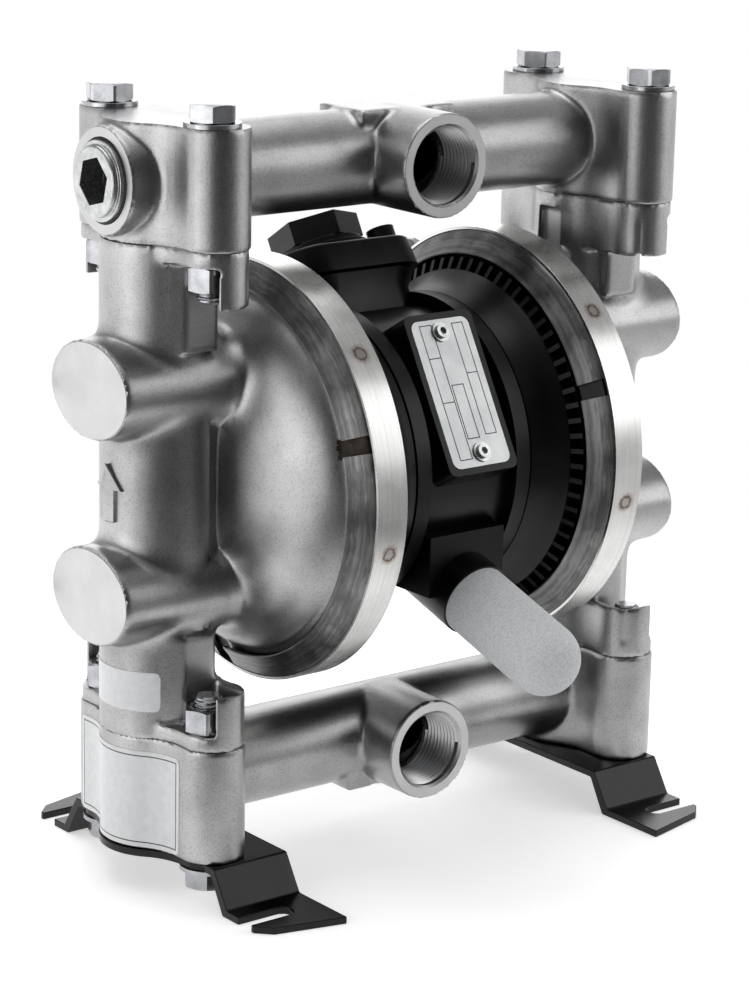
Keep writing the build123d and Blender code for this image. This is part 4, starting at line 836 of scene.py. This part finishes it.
for name, level in (("outlet_plug", OUTLET_Z), ("inlet_plug", INLET_Z)):
    plug = eased(name, (screw_steel, dope_and_shade_black), 0.3)
    # The socket's floor lies deep in the dark, so it is painted black as shade.
    for face in plug.data.polygons:
        middle = face.center / MM
        inside = math.hypot(middle.y, middle.z - level) < SOCKET_REACH
        if inside and abs(face.normal.x) > 0.9 and abs(middle.x) < PLUG_FACE_X - 1.0:
            face.material_index = 1


# Films
# Two pieces of white vinyl film, blank, wrapped on the near column and on the lower manifold's near end. The
# larger one carries a thin printed border.
FILM, FILM_CORNER, FILM_ROWS = 0.12, 2.0, 16
# Rays start this far left of the pump; a film's UV map counts in units of 100 mm.
RAY_START_MM, UV_MM = -200.0, 100.0
BORDER_INSET, BORDER_EDGE = 1.7, ((0.16, 1.0), (0.24, 0.0))
# The vinyl's skin has a slight ripple.
RIPPLE_MM, RIPPLE_DEEP = 2.5, 0.01
LABEL_LOW, LABEL_HIGH = 15.6, 49.4


def vinyl(name, size=None):
    """White film with a soft gloss; a border is printed when the film's length, bottom and top are given."""
    made, tree = blank(name)
    fine = {"Vector": spot(tree), "Scale": 1 / RIPPLE_MM, "Detail": 3.0}
    grain = add(tree, "ShaderNodeTexNoise", fine).outputs["Fac"]
    colour = add(tree, "ShaderNodeValToRGB", {"Fac": grain}, ((0.3, "#e9eaec"), (0.7, "#f2f3f4")))
    if size:
        run, low, high = size
        uv = add(tree, "ShaderNodeSeparateXYZ", {0: add(tree, "ShaderNodeUVMap", uv_map="film")})
        across = add(tree, "ShaderNodeMath", {0: uv.outputs["X"], 1: UV_MM}, operation="MULTIPLY")
        up = add(tree, "ShaderNodeMath", {0: uv.outputs["Y"], 1: UV_MM}, operation="MULTIPLY")
        inset = across
        for far, near in ((run, across), (up, low), (high, up)):
            gap = add(tree, "ShaderNodeMath", {0: far, 1: near}, operation="SUBTRACT")
            inset = add(tree, "ShaderNodeMath", {0: inset, 1: gap}, operation="MINIMUM")
        off = add(tree, "ShaderNodeMath", {0: inset, 1: BORDER_INSET}, operation="SUBTRACT")
        off = add(tree, "ShaderNodeMath", {0: off}, operation="ABSOLUTE")
        line = add(tree, "ShaderNodeValToRGB", {"Fac": off}, BORDER_EDGE)
        inked = {0: line, 6: colour, 7: tint("#2a2b2d")}
        colour = add(tree, "ShaderNodeMix", inked, data_type="RGBA").outputs[2]
    surface(tree, grain, RIPPLE_DEEP, {"Base Color": colour, "Roughness": 0.34})
    return made


def film_on(node, name, material, start, end, low, high, steps):
    """Film on a casting's outboard side from one y to another; its points come from rays on the casting.
    Gives the film and its length."""
    skin = copied(node)
    tree = BVHTree.FromBMesh(skin)
    skin.free()
    form = bmesh.new()
    layer = form.loops.layers.uv.new("film")
    lines, where = [], {}
    run, last = 0.0, None
    for i in range(steps + 1):
        y = start + (end - start) * i / steps
        source = Vector((RAY_START_MM * MM, y * MM, (low + high) / 2 * MM))
        hit, normal = tree.ray_cast(source, Vector((1, 0, 0)))[:2]
        flat = Vector((normal.x, normal.y, 0)).normalized()
        point = Vector((hit.x, hit.y, 0)) + flat * FILM * MM
        run += (point - last).length / MM if last else 0.0
        last = point
        lines.append((point, run))
    grid = []
    for point, s in lines:
        near = max(0.0, FILM_CORNER - min(s, run - s))
        cut = FILM_CORNER - math.sqrt(max(0.0, FILM_CORNER**2 - near**2))
        column = []
        for j in range(FILM_ROWS + 1):
            z = low + cut + (high - low - 2 * cut) * j / FILM_ROWS
            vertex = form.verts.new((point.x, point.y, z * MM))
            where[vertex] = (s / UV_MM, z / UV_MM)
            column.append(vertex)
        grid.append(column)
    for one, two in zip(grid, grid[1:]):
        for j in range(FILM_ROWS):
            face = form.faces.new((one[j], two[j], two[j + 1], one[j + 1]))
            for loop in face.loops:
                loop[layer].uv = where[loop.vert]
    return settle(form, name, material, angle=60.0), run


blank_film = vinyl("blank_white_film")
film_on("fluid_cover_left", "column_film", blank_film, 11.0, -16.7, 63.3, 76.9, 90)
# The border is measured from the film's ends, so its material is made once the film's length is known.
film, run = film_on("inlet_manifold", "manifold_film", blank_film, 32.0, -26.8, LABEL_LOW, LABEL_HIGH, 200)
film.data.materials[0] = vinyl("bordered_white_film", (run, LABEL_LOW, LABEL_HIGH))


# Inside the pump
# Rubber gaskets, seals and diaphragms; ground shaft and pins; turned plates and seats; acetal valve pieces.
moulded_rubber = moulded("moulded_black_rubber", "#17181a", "#242527", (0.6, 0.75), 0.6, 0.03)
white_ptfe = moulded("turned_white_ptfe", "#ecece6", "#f4f4f0", (0.32, 0.42), 0.9, 0.006)
pale_acetal = moulded("moulded_pale_acetal", "#dadad2", "#e4e4dc", (0.3, 0.4), 0.9, 0.006)
ground_steel = grained("ground_steel", "#a9abad", "#c8cacc", (0.14, 0.22), 0.4, 0.003)
for material, nodes in (
    (moulded_rubber, "cover_gaskets valve_cover_gasket shaft_seals piston_seals"),
    (moulded_rubber, "diaphragm_left diaphragm_right inlet_seat_seals outlet_seat_seals"),
    (white_ptfe, "inlet_ball_left inlet_ball_right outlet_ball_left outlet_ball_right"),
    (pale_acetal, "valve_plate valve_cup valve_carriage actuator_pistons"),
    (pale_acetal, "pilot_block shaft_bearings pilot_bushes"),
    (ground_steel, "diaphragm_shaft pilot_pins"),
    (milled_stainless, "air_plates fluid_plates inlet_seats outlet_seats"),
    (screw_steel, "shaft_bolts air_cover_screws valve_cover_screws"),
):
    for node in nodes.split():
        dressed(node, material)
